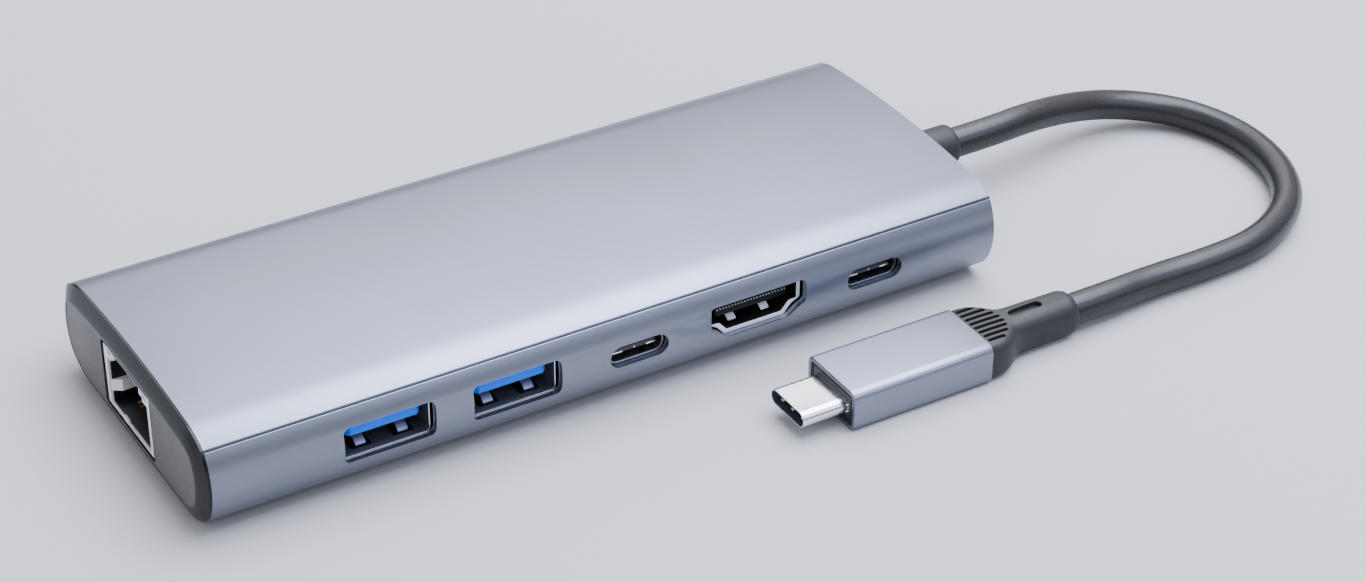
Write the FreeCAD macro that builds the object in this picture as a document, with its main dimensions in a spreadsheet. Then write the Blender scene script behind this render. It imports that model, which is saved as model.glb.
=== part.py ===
import FreeCAD, Part
import math
import os

import Sketcher
from FreeCAD import Rotation, Vector

# A slim docking hub: an aluminium extrusion along X, closed by two plastic end caps.
# The origin is the middle of its underside. Five ports face -Y, the network jack
# faces -X, and a short captive cable leaves +X and ends in a plug that lies on the
# same surface as the hub. All sizes are millimetres.

doc = FreeCAD.newDocument("DockingHub")
sheet = doc.addObject("Spreadsheet::Sheet", "Sizes")

SIZES = {
    # housing extrusion, measured from its middle height
    "housingLength": 121.7,
    "hubHeight": 16.0,
    "wallThickness": 1.0,
    "crownEdgeY": 18.5,
    "crownEdgeRise": 7.1,
    "crownRadius": 190.6,
    "creaseY": 22.8,
    "creaseRise": 5.5,
    "shoulderRadius": 8.92,
    "lowerCreaseY": 22.5,
    "sideRadius": 9.55,
    "footY": 15.5,
    "undersideRadius": 11.05,
    "creaseGrooveRadius": 0.22,
    "windowCut": 30.0,
    "cutMargin": 1.0,
    # end caps
    "leftCapProud": 1.4,
    "leftCapRim": 0.45,
    "leftCapBevel": 2.3,
    "rightCapProud": 0.25,
    "rightCapInset": 0.35,
    "capCollarDepth": 3.2,
    "capCollarWall": 1.2,
    "collarClearance": 0.1,
    # port places: across the front, and above the middle height
    "portRise": 0.1,
    "dataPortLeftX": -35.5,
    "dataPortRightX": -16.6,
    "slimPortLeftX": 2.05,
    "videoPortX": 21.15,
    "slimPortRightX": 40.3,
    # windows in the front wall
    "dataWindowWidth": 13.3,
    "dataWindowHeight": 5.5,
    "dataWindowCorner": 0.9,
    "slimWindowWidth": 9.1,
    "slimWindowHeight": 3.35,
    "videoWindowWidth": 15.5,
    "videoWindowHeight": 5.5,
    "videoWindowFoot": 10.1,
    "videoKneeRise": 2.05,
    "videoStepIn": 1.4,
    "videoHipRise": 1.4,
    # data port, a nine-contact receptacle
    "dataFrontY": -22.85,
    "dataShellWidth": 13.1,
    "dataShellHeight": 5.7,
    "dataShellWall": 0.3,
    "dataShellCorner": 0.8,
    "dataShellLength": 14.0,
    "dataTongueWidth": 10.8,
    "dataTongueThick": 1.84,
    "dataTongueRise": 0.97,
    "dataTongueSet": 0.6,
    "dataTongueCorner": 0.25,
    "dataBlockDepth": 4.0,
    "dataSpringPitch": 6.2,
    "dataSlotWidth": 3.0,
    "dataSlotLength": 6.0,
    "dataSlotSet": 1.2,
    "dataLeafWidth": 1.5,
    "dataLeafLength": 5.4,
    "dataLeafSet": 2.0,
    "springSlotCorner": 0.3,
    "springLeafCorner": 0.2,
    "dataContactThick": 0.15,
    "longContactWidth": 1.0,
    "longContactLength": 6.4,
    "longContactSet": 2.6,
    "shortContactWidth": 0.7,
    "shortContactLength": 1.3,
    "shortContactSet": 0.6,
    # slim port, a reversible receptacle
    "slimFrontY": -23.2,
    "slimShellWidth": 8.94,
    "slimShellHeight": 3.16,
    "slimShellWall": 0.3,
    "slimShellLength": 8.0,
    "slimTongueWidth": 6.69,
    "slimTongueThick": 0.7,
    "slimTongueSet": 0.45,
    "slimTongueCorner": 0.2,
    "slimBlockDepth": 2.2,
    "slimLegInset": 1.9,
    "slimLegWidth": 1.1,
    "slimLegDepth": 1.2,
    "slimLegSet": 1.6,
    "slimLegTop": 1.4,
    "slimContactPitch": 0.5,
    "slimContactWidth": 0.26,
    "slimContactLength": 3.2,
    "slimContactThick": 0.06,
    "slimContactSet": 0.9,
    # video port
    "videoFrontY": -23.0,
    "videoShellWidth": 15.0,
    "videoShellHeight": 5.4,
    "videoShellFoot": 9.7,
    "videoShellWall": 0.45,
    "videoShellLength": 11.0,
    "videoTongueWidth": 11.9,
    "videoTongueThick": 1.2,
    "videoTongueRise": 0.35,
    "videoTongueSet": 0.9,
    "videoTongueCorner": 0.2,
    "videoBlockDepth": 3.0,
    "videoSpringPitch": 5.4,
    "videoSlotWidth": 2.6,
    "videoSlotLength": 5.0,
    "videoSlotSet": 1.1,
    "videoLeafWidth": 1.5,
    "videoLeafLength": 4.6,
    "videoLeafSet": 1.7,
    "videoLeafThick": 0.3,
    "videoContactPitch": 0.5,
    "videoContactWidth": 0.32,
    "videoContactLength": 4.6,
    "videoContactThick": 0.12,
    "videoContactSet": 0.5,
    # network jack
    "jackY": 0.4,
    "jackRise": -0.05,
    "jackWindowWidth": 16.6,
    "jackWindowHeight": 10.3,
    "jackWindowCorner": 0.6,
    "jackShieldWidth": 16.0,
    "jackShieldHeight": 9.9,
    "jackShieldWall": 0.25,
    "jackShieldCorner": 0.4,
    "jackShieldLength": 15.6,
    "jackFrontX": -62.0,
    "jackCavityWidth": 11.9,
    "jackCavityHeight": 7.5,
    "jackLatchWidth": 6.6,
    "jackLatchHeight": 1.25,
    "jackCavityDepth": 12.5,
    "jackCavityDrop": 0.45,
    "jackBodySet": 0.3,
    "jackContactPitch": 1.02,
    "jackContactLength": 8.5,
    "jackContactWidth": 0.35,
    "jackContactThick": 0.25,
    "jackContactSet": 2.6,
    "jackContactRise": 0.35,
    "jackContactTilt": 16.0,
    # circuit board and what stands on it
    "boardLength": 111.0,
    "boardMiddleX": -1.5,
    "boardWidth": 42.0,
    "boardThick": 1.2,
    "boardTop": 5.2,
    "boardCorner": 1.0,
    "boardJackGap": 0.3,
    "boardNotchCorner": 0.5,
    # cable, its relief and the plug at its end
    "cableDiameter": 4.7,
    "reliefDiameter": 6.4,
    "reliefLength": 9.4,
    "reliefRounding": 0.8,
    "reliefFlange": 9.6,
    "reliefFlangeThick": 1.5,
    "cableRootLength": 14.0,
    "cableTailLength": 9.0,
    "wireDiameter": 0.7,
    "wirePitch": 0.9,
    "plugAxisY": -39.9,
    "plugAxisZ": 3.14,
    "sleeveStartX": 23.0,
    "sleeveLength": 22.8,
    "sleeveWidth": 11.7,
    "sleeveHeight": 6.28,
    "sleeveCorner": 1.1,
    "sleeveWall": 0.8,
    "sleeveInnerCorner": 0.5,
    "insertSet": 0.4,
    "insertThick": 2.4,
    "mouldShoulderLength": 3.0,
    "mouldWaistLength": 3.4,
    "mouldNeckLength": 10.8,
    "mouldNeckDiameter": 6.1,
    "mouldNeckRounding": 0.6,
    "mouldTenonLength": 3.0,
    "mouldSideStep": 0.2,
    "mouldTopStep": 0.15,
    "neckSlotLength": 5.5,
    "neckSlotWidth": 1.1,
    "neckSlotDepth": 0.5,
    "neckSlotPlace": 3.0,
    "plugShellWidth": 8.25,
    "plugShellHeight": 2.4,
    "plugShellWall": 0.25,
    "plugShellLength": 10.2,
    "plugShellProud": 7.0,
    "plugCoreSet": 0.3,
    "plugSlotWidth": 6.9,
    "plugSlotHeight": 0.86,
    "plugSlotDepth": 6.0,
    "plugContactLength": 4.2,
    "plugContactSet": 1.4,
    "plugContactRise": 0.39,
    "plugBoardLength": 15.5,
    "plugBoardWidth": 9.4,
    "plugBoardThick": 0.8,
    "plugBoardGap": 0.1,
}

SMALLEST_CUT = 1e-6  # cubic millimetres
NEAR = 1e-4
TRIM_SHARE = 0.45  # how much of a cable run each bend may take
ROUND_SLACK = 0.02  # keeps a rounded rectangle's straight sides from vanishing

# across the data port, from its middle
LONG_CONTACTS = (-3.5, -1.0, 1.0, 3.5)
SHORT_CONTACTS = (-4.0, -2.0, 0.0, 2.0, 4.0)
SLIM_CONTACT_COUNT = 12
VIDEO_CONTACT_COUNT = 19
JACK_CONTACT_COUNT = 8
WIRE_COUNT = 4

# length, width, height, then the x and y of the middle
CHIPS = {
    "hub_controller_chip": (9.0, 9.0, 0.9, -6.0, 3.0),
    "network_controller_chip": (8.0, 8.0, 0.9, -28.0, 6.0),
    "video_converter_chip": (7.0, 7.0, 0.9, 20.0, 0.0),
    "power_controller_chip": (5.0, 5.0, 0.9, 42.0, -2.0),
    "network_transformer": (12.0, 15.0, 5.4, -38.5, 0.4),
}

# length, width and height of one, then the x and y of each middle
CHIP_ROWS = {
    "power_inductors": ((4.0, 4.0, 2.0), ((34.0, 10.0), (42.0, 10.0), (50.0, 12.0))),
    "clock_crystals": ((3.2, 2.5, 0.8), ((-17.0, 11.0), (4.0, 8.0), (28.0, 6.0))),
    "ceramic_capacitors": (
        (2.0, 1.25, 1.2),
        ((-20.0, -1.0), (-12.0, -4.5), (1.0, -4.0), (8.0, 14.0), (12.0, 8.0),
         (30.0, -3.0), (34.0, 3.0), (50.0, -8.0), (50.0, 4.0), (-4.0, 14.0)),
    ),
}

for row, (alias, size) in enumerate(SIZES.items(), start=1):
    sheet.set(f"A{row}", alias)
    sheet.set(f"B{row}", str(size))
    sheet.setAlias(f"B{row}", alias)
doc.recompute()

subParts = []


def expand(rule):
    """Write Sizes. in front of each alias in a rule such as 'hubHeight / 2'."""
    words = ""
    out = ""
    for letter in str(rule) + " ":
        if letter.isalnum() or letter == "_":
            words += letter
            continue
        out += f"Sizes.{words}" if words in SIZES else words
        out += letter
        words = ""
    return out.strip()


def number(rule):
    """The present value of a rule, used as a sketch's starting point."""
    value = sheet.evalExpression(expand(rule))
    return float(getattr(value, "Value", value))


def bind(item, **rules):
    """Bind properties such as Length, or Placement_Base_x, to rules."""
    for name, rule in rules.items():
        item.setExpression(name.replace("_", "."), expand(rule))


def place(item, x=0, y=0, z=0):
    bind(item, Placement_Base_x=x, Placement_Base_y=y, Placement_Base_z=z)


def keep(item, label):
    item.Label = label
    subParts.append(item)
    return item


def newSketch(body, name, plane, offset=0, right=0, up=0):
    """A sketch on one of the body's own origin planes, moved by three rules."""
    sketch = body.newObject("Sketcher::SketchObject", name)
    support = next(f for f in body.Origin.OriginFeatures if f.Role == plane)
    sketch.AttachmentSupport = [(support, "")]
    sketch.MapMode = "FlatFace"
    bind(
        sketch,
        AttachmentOffset_Base_x=right,
        AttachmentOffset_Base_y=up,
        AttachmentOffset_Base_z=offset,
    )
    return sketch


def dimension(sketch, rule, kind, *where):
    """A driving constraint bound to a rule."""
    index = sketch.addConstraint(Sketcher.Constraint(kind, *where, number(rule)))
    title = f"size{index}"
    sketch.renameConstraint(index, title)
    sketch.setExpression(f"Constraints.{title}", expand(rule))


def pin(sketch, geometry, end, x, y):
    """Hold a point at rules x and y from the sketch's origin."""
    dimension(sketch, x, "DistanceX", -1, 1, geometry, end)
    dimension(sketch, y, "DistanceY", -1, 1, geometry, end)


def mirrorPoint(sketch, left, leftEnd, right, rightEnd):
    sketch.addConstraint(Sketcher.Constraint("Symmetric", left, leftEnd, right, rightEnd, -2))


def bulgedArc(start, end, radius):
    """The short arc from start to end that bulges to the left of the way it goes."""
    chord = end - start
    half = chord.Length / 2
    left = Vector(-chord.y, chord.x, 0).normalize()
    centre = (start + end) / 2 - left * math.sqrt(radius**2 - half**2)
    first = math.atan2(end.y - centre.y, end.x - centre.x)
    last = math.atan2(start.y - centre.y, start.x - centre.x)
    return Part.ArcOfCircle(Part.Circle(centre, Vector(0, 0, 1), radius), first, last)


def sectionOutline(sketch, inset="0"):
    """The hub's cross-section, moved inwards by inset: a crowned top, two sides that
    bulge between creases, and a flat foot."""
    corners = [
        (f"crownEdgeY - 0.1 * ({inset})", f"crownEdgeRise - 0.995 * ({inset})"),
        (f"creaseY - 0.75 * ({inset})", f"creaseRise - 0.7 * ({inset})"),
        (f"lowerCreaseY - 0.75 * ({inset})", f"0.7 * ({inset}) - creaseRise"),
        (f"footY - 0.1 * ({inset})", f"({inset}) - hubHeight / 2"),
    ]
    right = [Vector(number(x), number(y), 0) for x, y in corners]
    left = [Vector(-p.x, p.y, 0) for p in right]
    radii = ["crownRadius", "shoulderRadius", "sideRadius", "undersideRadius"]
    radii = [f"{radius} - ({inset})" for radius in radii]
    ring = [left[0]] + right + left[:0:-1]
    turns = [radii[0], radii[1], radii[2], radii[3], None, radii[3], radii[2], radii[1]]
    first = sketch.GeometryCount
    for i, radius in enumerate(turns):
        start, end = ring[i], ring[(i + 1) % 8]
        if radius is None:
            sketch.addGeometry(Part.LineSegment(end, start))
        else:
            sketch.addGeometry(bulgedArc(start, end, number(radius)))
    for i in range(8):
        near, far = first + i, first + (i + 1) % 8
        sketch.addConstraint(Sketcher.Constraint("Coincident", near, 1, far, 2))
    for i, (x, y) in enumerate(corners):
        pin(sketch, first + i, 1, x, y)
    for i in range(4):
        mirrorPoint(sketch, first + (8 - i) % 8, 2, first + i, 1)
    for i in range(4):
        dimension(sketch, radii[i], "Radius", first + i)
    for i in range(1, 4):
        sketch.addConstraint(Sketcher.Constraint("Equal", first + i, first + 8 - i))


def roundedRectangle(sketch, width, height, corner):
    """A rounded rectangle centred on the sketch's origin."""
    w, h, c = number(width) / 2, number(height) / 2, number(corner)
    first = sketch.GeometryCount
    lines = [
        (Vector(c - w, -h, 0), Vector(w - c, -h, 0)),
        (Vector(w, c - h, 0), Vector(w, h - c, 0)),
        (Vector(w - c, h, 0), Vector(c - w, h, 0)),
        (Vector(-w, h - c, 0), Vector(-w, c - h, 0)),
    ]
    centres = [(w - c, c - h), (w - c, h - c), (c - w, h - c), (c - w, c - h)]
    for start, end in lines:
        sketch.addGeometry(Part.LineSegment(start, end))
    for i, (x, y) in enumerate(centres):
        whole = Part.Circle(Vector(x, y, 0), Vector(0, 0, 1), c)
        begin = math.radians(90 * i - 90)
        sketch.addGeometry(Part.ArcOfCircle(whole, begin, begin + math.pi / 2))
    for i in range(4):
        line, arc, after = first + i, first + 4 + i, first + (i + 1) % 4
        sketch.addConstraint(Sketcher.Constraint("Tangent", line, 2, arc, 1))
        sketch.addConstraint(Sketcher.Constraint("Tangent", arc, 2, after, 1))
        level = "Vertical" if i % 2 else "Horizontal"
        sketch.addConstraint(Sketcher.Constraint(level, line))
    for i in range(1, 4):
        sketch.addConstraint(Sketcher.Constraint("Equal", first + 4, first + 4 + i))
    dimension(sketch, corner, "Radius", first + 4)
    dimension(sketch, width, "DistanceX", first + 3, 2, first + 1, 1)
    dimension(sketch, height, "DistanceY", first, 2, first + 2, 1)
    sketch.addConstraint(Sketcher.Constraint("Symmetric", first, 1, first + 2, 1, -1, 1))


def stadium(sketch, width, height):
    """A slot outline with round ends, centred on the sketch's origin."""
    r = number(height) / 2
    reach = number(width) / 2 - r
    first = sketch.GeometryCount
    sketch.addGeometry(Part.LineSegment(Vector(-reach, -r, 0), Vector(reach, -r, 0)))
    sketch.addGeometry(Part.LineSegment(Vector(reach, r, 0), Vector(-reach, r, 0)))
    for x, begin in ((reach, -math.pi / 2), (-reach, math.pi / 2)):
        whole = Part.Circle(Vector(x, 0, 0), Vector(0, 0, 1), r)
        sketch.addGeometry(Part.ArcOfCircle(whole, begin, begin + math.pi))
    sketch.addConstraint(Sketcher.Constraint("Tangent", first, 2, first + 2, 1))
    sketch.addConstraint(Sketcher.Constraint("Tangent", first + 2, 2, first + 1, 1))
    sketch.addConstraint(Sketcher.Constraint("Tangent", first + 1, 2, first + 3, 1))
    sketch.addConstraint(Sketcher.Constraint("Tangent", first + 3, 2, first, 1))
    sketch.addConstraint(Sketcher.Constraint("Horizontal", first))
    sketch.addConstraint(Sketcher.Constraint("Equal", first + 2, first + 3))
    dimension(sketch, f"({height}) / 2", "Radius", first + 2)
    dimension(sketch, f"({width}) - ({height})", "DistanceX", first + 3, 3, first + 2, 3)
    sketch.addConstraint(
        Sketcher.Constraint("Symmetric", first + 2, 3, first + 3, 3, -1, 1)
    )


def mirroredPolygon(sketch, rightHalf):
    """A straight-sided outline, from the rules of its right half, top to bottom."""
    right = [Vector(number(x), number(y), 0) for x, y in rightHalf]
    ring = right + [Vector(-p.x, p.y, 0) for p in reversed(right)]
    first = sketch.GeometryCount
    count = len(ring)
    for i in range(count):
        sketch.addGeometry(Part.LineSegment(ring[i], ring[(i + 1) % count]))
    for i in range(count):
        after = first + (i + 1) % count
        sketch.addConstraint(Sketcher.Constraint("Coincident", first + i, 2, after, 1))
    for i, (x, y) in enumerate(rightHalf):
        pin(sketch, first + i, 1, x, y)
        mirrorPoint(sketch, first + count - 1 - i, 1, first + i, 1)


def circle(sketch, diameter, x="0", y="0"):
    index = sketch.addGeometry(
        Part.Circle(Vector(number(x), number(y), 0), Vector(0, 0, 1), number(diameter) / 2)
    )
    if (x, y) == ("0", "0"):
        sketch.addConstraint(Sketcher.Constraint("Coincident", index, 3, -1, 1))
    else:
        pin(sketch, index, 3, x, y)
    dimension(sketch, diameter, "Diameter", index)


def newBody(label):
    body = doc.addObject("PartDesign::Body", "".join(w.title() for w in label.split("_")))
    return keep(body, label)


def pad(body, sketch, length, reverse=False, middle=False):
    feature = body.newObject("PartDesign::Pad", sketch.Name + "Pad")
    feature.Profile = sketch
    bind(feature, Length=length)
    feature.Reversed = reverse
    if middle:
        feature.SideType = "Symmetric"
    sketch.Visibility = False
    return feature


def loftBetween(body, name, outlines):
    """A ruled loft through sketches that have the same number of edges."""
    doc.recompute()
    feature = body.newObject("PartDesign::AdditiveLoft", name)
    feature.Profile = outlines[0]
    feature.Sections = outlines[1:]
    feature.Ruled = True
    return feature


def pocket(body, sketch, length, reverse=False):
    """A pocket that must take something away."""
    doc.recompute()
    before = body.Shape.Volume
    feature = body.newObject("PartDesign::Pocket", sketch.Name + "Pocket")
    feature.Profile = sketch
    bind(feature, Length=length)
    feature.Reversed = reverse
    doc.recompute()
    if body.Shape.Volume > before - SMALLEST_CUT:
        raise RuntimeError(f"{feature.Name} cuts nothing")
    return feature


def edgesWhere(shape, test):
    """Names of the edges whose every corner passes the test."""
    names = []
    for i, edge in enumerate(shape.Edges, start=1):
        points = [v.Point for v in edge.Vertexes] + [edge.CenterOfMass]
        if all(test(p) for p in points):
            names.append(f"Edge{i}")
    return names


def roundEdges(body, radius, test):
    doc.recompute()
    base = body.Tip
    feature = body.newObject("PartDesign::Fillet", body.Name + "Round")
    feature.Base = (base, edgesWhere(base.Shape, test))
    bind(feature, Radius=radius)
    return feature


def block(label, lengths, corner):
    """A Part::Box from three length rules and the rules of its lowest corner."""
    item = doc.addObject("Part::Box", "".join(w.title() for w in label.split("_")))
    bind(item, Length=lengths[0], Width=lengths[1], Height=lengths[2])
    place(item, *corner)
    return item


def group(label, members):
    item = doc.addObject("Part::Compound", "".join(w.title() for w in label.split("_")))
    item.Links = members
    return keep(item, label)


MIDDLE = "hubHeight / 2"


def makeHousing():
    body = newBody("housing")
    place(body, z=MIDDLE)
    section = newSketch(body, "HousingSection", "YZ_Plane")
    sectionOutline(section)
    sectionOutline(section, "wallThickness")
    pad(body, section, "housingLength", middle=True)

    grooves = newSketch(body, "CreaseGrooves", "YZ_Plane", offset="-housingLength / 2")
    for side in (1, -1):
        circle(grooves, "2 * creaseGrooveRadius", f"{side} * creaseY", "creaseRise")
        circle(grooves, "2 * creaseGrooveRadius", f"{side} * lowerCreaseY", "-creaseRise")
    pocket(body, grooves, "housingLength", reverse=True)

    for side, x in (("Left", "dataPortLeftX"), ("Right", "dataPortRightX")):
        window = newSketch(body, f"DataWindow{side}", "XZ_Plane", right=x, up="portRise")
        roundedRectangle(window, "dataWindowWidth", "dataWindowHeight", "dataWindowCorner")
        pocket(body, window, "windowCut", reverse=True)
    for side, x in (("Left", "slimPortLeftX"), ("Right", "slimPortRightX")):
        window = newSketch(body, f"SlimWindow{side}", "XZ_Plane", right=x, up="portRise")
        stadium(window, "slimWindowWidth", "slimWindowHeight")
        pocket(body, window, "windowCut", reverse=True)
    window = newSketch(body, "VideoWindow", "XZ_Plane", right="videoPortX", up="portRise")
    videoOutline(window, "videoWindow", "0")
    pocket(body, window, "windowCut", reverse=True)


def videoOutline(sketch, stem, inset):
    """The video port's outline: square above, stepped in at each lower corner."""
    floor = f"({inset}) - {stem}Height / 2"
    mirroredPolygon(
        sketch,
        [
            (f"{stem}Width / 2 - ({inset})", f"{stem}Height / 2 - ({inset})"),
            (f"{stem}Width / 2 - ({inset})", f"videoKneeRise - {stem}Height / 2"),
            (f"{stem}Width / 2 - videoStepIn - 0.8 * ({inset})", f"{floor} + videoHipRise"),
            (f"{stem}Foot / 2 - 0.7 * ({inset})", floor),
        ],
    )


def makeLeftCap():
    body = newBody("left_end_cap")
    place(body, x="-housingLength / 2", z=MIDDLE)
    rim = newSketch(body, "LeftCapRim", "YZ_Plane")
    sectionOutline(rim)
    pad(body, rim, "leftCapRim", reverse=True)
    foot = newSketch(body, "LeftCapBevelFoot", "YZ_Plane", offset="-leftCapRim")
    sectionOutline(foot)
    face = newSketch(body, "LeftCapFace", "YZ_Plane", offset="-leftCapProud")
    sectionOutline(face, "leftCapBevel")
    loftBetween(body, "LeftCapBevel", [foot, face])
    addCollar(body, "LeftCapCollar", 1)
    opening = newSketch(
        body, "JackWindow", "YZ_Plane", offset="-leftCapProud - cutMargin",
        right="jackY", up="jackRise",
    )
    roundedRectangle(opening, "jackWindowWidth", "jackWindowHeight", "jackWindowCorner")
    pocket(body, opening, "leftCapProud + capCollarDepth + 2 * cutMargin", reverse=True)


def addCollar(body, name, way):
    """The rim that slides into the extrusion."""
    collar = newSketch(body, name, "YZ_Plane")
    sectionOutline(collar, "wallThickness + collarClearance")
    sectionOutline(collar, "wallThickness + collarClearance + capCollarWall")
    pad(body, collar, "capCollarDepth", reverse=way < 0)


def makeRightCap():
    body = newBody("right_end_cap")
    place(body, x="housingLength / 2", z=MIDDLE)
    face = newSketch(body, "RightCapFace", "YZ_Plane", offset="-capCollarDepth")
    sectionOutline(face, "wallThickness + collarClearance")
    pad(body, face, "capCollarDepth")
    lip = newSketch(body, "RightCapLip", "YZ_Plane")
    sectionOutline(lip, "rightCapInset")
    pad(body, lip, "rightCapProud")
    bore = newSketch(body, "ReliefBore", "YZ_Plane", offset="-capCollarDepth - cutMargin")
    circle(bore, "reliefDiameter")
    pocket(body, bore, "capCollarDepth + rightCapProud + 2 * cutMargin", reverse=True)


def makeHubRelief():
    body = newBody("hub_strain_relief")
    place(body, x="housingLength / 2", z=MIDDLE)
    root = "capCollarDepth + reliefFlangeThick"
    flange = newSketch(body, "ReliefFlange", "YZ_Plane", offset=f"-({root})")
    circle(flange, "reliefFlange")
    pad(body, flange, "reliefFlangeThick")
    barrel = newSketch(body, "ReliefBarrel", "YZ_Plane", offset="-capCollarDepth")
    circle(barrel, "reliefDiameter")
    pad(body, barrel, "reliefLength + capCollarDepth")
    tip = number("reliefLength")
    roundEdges(body, "reliefRounding", lambda p: abs(p.x - tip) < NEAR)
    bore = newSketch(body, "CableBore", "YZ_Plane", offset=f"-({root}) - cutMargin")
    circle(bore, "cableDiameter")
    pocket(body, bore, f"{root} + reliefLength + 2 * cutMargin", reverse=True)


def makeDataPort(side, x):
    """A receptacle with a sprung steel shell, a coloured tongue and nine contacts."""
    name = f"data_port_{side}"
    rise = f"{MIDDLE} + portRise"
    inside = (
        "dataShellWidth - 2 * dataShellWall",
        "dataShellHeight - 2 * dataShellWall",
        "dataShellCorner - dataShellWall",
    )
    shell = newBody(f"{name}_shell")
    place(shell, x, "dataFrontY", rise)
    ring = newSketch(shell, f"DataRing{side}", "XZ_Plane")
    roundedRectangle(ring, "dataShellWidth", "dataShellHeight", "dataShellCorner")
    roundedRectangle(ring, *inside)
    pad(shell, ring, "dataShellLength", reverse=True)
    addSprings(shell, side, "data", "dataShellWall")

    tongue = newBody(f"{name}_tongue")
    place(tongue, x, "dataFrontY", rise)
    rear = newSketch(tongue, f"DataBlock{side}", "XZ_Plane", offset="-dataShellLength")
    roundedRectangle(rear, *inside)
    pad(tongue, rear, "dataBlockDepth")
    blade = newSketch(
        tongue, f"DataBlade{side}", "XZ_Plane", offset="-dataTongueSet", up="dataTongueRise"
    )
    roundedRectangle(blade, "dataTongueWidth", "dataTongueThick", "dataTongueCorner")
    pad(tongue, blade, "dataShellLength - dataTongueSet - dataBlockDepth", reverse=True)

    under = f"{rise} + dataTongueRise - dataTongueThick / 2 - dataContactThick"
    contacts = []
    for kind, shifts in (("long", LONG_CONTACTS), ("short", SHORT_CONTACTS)):
        lengths = (f"{kind}ContactWidth", f"{kind}ContactLength", "dataContactThick")
        start = f"dataFrontY + dataTongueSet + {kind}ContactSet"
        for i, shift in enumerate(shifts):
            corner = (f"{x} + {shift} - {kind}ContactWidth / 2", start, under)
            contacts.append(block(f"{name}_{kind}_contact_{i}", lengths, corner))
    group(f"{name}_contacts", contacts)


def addSprings(shell, side, stem, thick):
    """Two slots in a shell's floor, each with a spring leaf held at its rear end."""
    for end in (-1, 1):
        right = f"{end} * {stem}SpringPitch / 2"
        slot = newSketch(
            shell, f"{stem.title()}Slot{side}{end + 1}", "XY_Plane", right=right,
            up=f"{stem}SlotSet + {stem}SlotLength / 2",
            offset=f"cutMargin - {stem}ShellHeight / 2",
        )
        roundedRectangle(slot, f"{stem}SlotWidth", f"{stem}SlotLength", "springSlotCorner")
        pocket(shell, slot, "2 * cutMargin")
        leaf = newSketch(
            shell, f"{stem.title()}Leaf{side}{end + 1}", "XY_Plane", right=right,
            up=f"{stem}LeafSet + {stem}LeafLength / 2", offset=f"-{stem}ShellHeight / 2",
        )
        roundedRectangle(leaf, f"{stem}LeafWidth", f"{stem}LeafLength", "springLeafCorner")
        pad(shell, leaf, thick)


def makeSlimPort(side, x):
    """A reversible receptacle: a seamless stadium shell round a thin tongue."""
    name = f"slim_port_{side}"
    rise = f"{MIDDLE} + portRise"
    inside = ("slimShellWidth - 2 * slimShellWall", "slimShellHeight - 2 * slimShellWall")
    shell = newBody(f"{name}_shell")
    place(shell, x, "slimFrontY", rise)
    ring = newSketch(shell, f"SlimRing{side}", "XZ_Plane")
    stadium(ring, "slimShellWidth", "slimShellHeight")
    stadium(ring, *inside)
    pad(shell, ring, "slimShellLength", reverse=True)
    drop = "hubHeight / 2 + portRise - boardTop"
    legs = newSketch(
        shell, f"SlimLegs{side}", "XZ_Plane", offset="slimLegSet - slimShellLength",
        up=f"-({drop} + slimLegTop) / 2",
    )
    for end in (-1, 1):
        legX = f"{end} * (slimShellWidth / 2 - slimLegInset)"
        plainRectangle(legs, legX, "slimLegWidth", f"{drop} - slimLegTop")
    pad(shell, legs, "slimLegDepth")

    tongue = newBody(f"{name}_tongue")
    place(tongue, x, "slimFrontY", rise)
    rear = newSketch(tongue, f"SlimBlock{side}", "XZ_Plane", offset="-slimShellLength")
    stadium(rear, *inside)
    pad(tongue, rear, "slimBlockDepth")
    blade = newSketch(tongue, f"SlimBlade{side}", "XZ_Plane", offset="-slimTongueSet")
    roundedRectangle(blade, "slimTongueWidth", "slimTongueThick", "slimTongueCorner")
    pad(tongue, blade, "slimShellLength - slimTongueSet - slimBlockDepth", reverse=True)

    contacts = []
    lengths = ("slimContactWidth", "slimContactLength", "slimContactThick")
    levels = (
        f"{rise} - slimTongueThick / 2 - slimContactThick",
        f"{rise} + slimTongueThick / 2",
    )
    for i in range(SLIM_CONTACT_COUNT):
        across = f"{x} + {i - (SLIM_CONTACT_COUNT - 1) / 2} * slimContactPitch"
        for j, level in enumerate(levels):
            corner = (
                f"{across} - slimContactWidth / 2",
                "slimFrontY + slimTongueSet + slimContactSet", level,
            )
            contacts.append(block(f"{name}_contact_{i}_{j}", lengths, corner))
    group(f"{name}_contacts", contacts)


def plainRectangle(sketch, x, width, height):
    """A plain rectangle centred at x, on the sketch's own middle height."""
    first = sketch.GeometryCount
    cx, w, h = number(x), number(width) / 2, number(height) / 2
    ring = [Vector(cx + a * w, b * h, 0) for a, b in ((-1, -1), (1, -1), (1, 1), (-1, 1))]
    for i in range(4):
        sketch.addGeometry(Part.LineSegment(ring[i], ring[(i + 1) % 4]))
    for i in range(4):
        sketch.addConstraint(
            Sketcher.Constraint("Coincident", first + i, 2, first + (i + 1) % 4, 1)
        )
        level = "Vertical" if i % 2 else "Horizontal"
        sketch.addConstraint(Sketcher.Constraint(level, first + i))
    pin(sketch, first, 1, f"({x}) - ({width}) / 2", f"-({height}) / 2")
    dimension(sketch, width, "DistanceX", first, 1, first, 2)
    dimension(sketch, height, "DistanceY", first + 1, 1, first + 1, 2)


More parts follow.
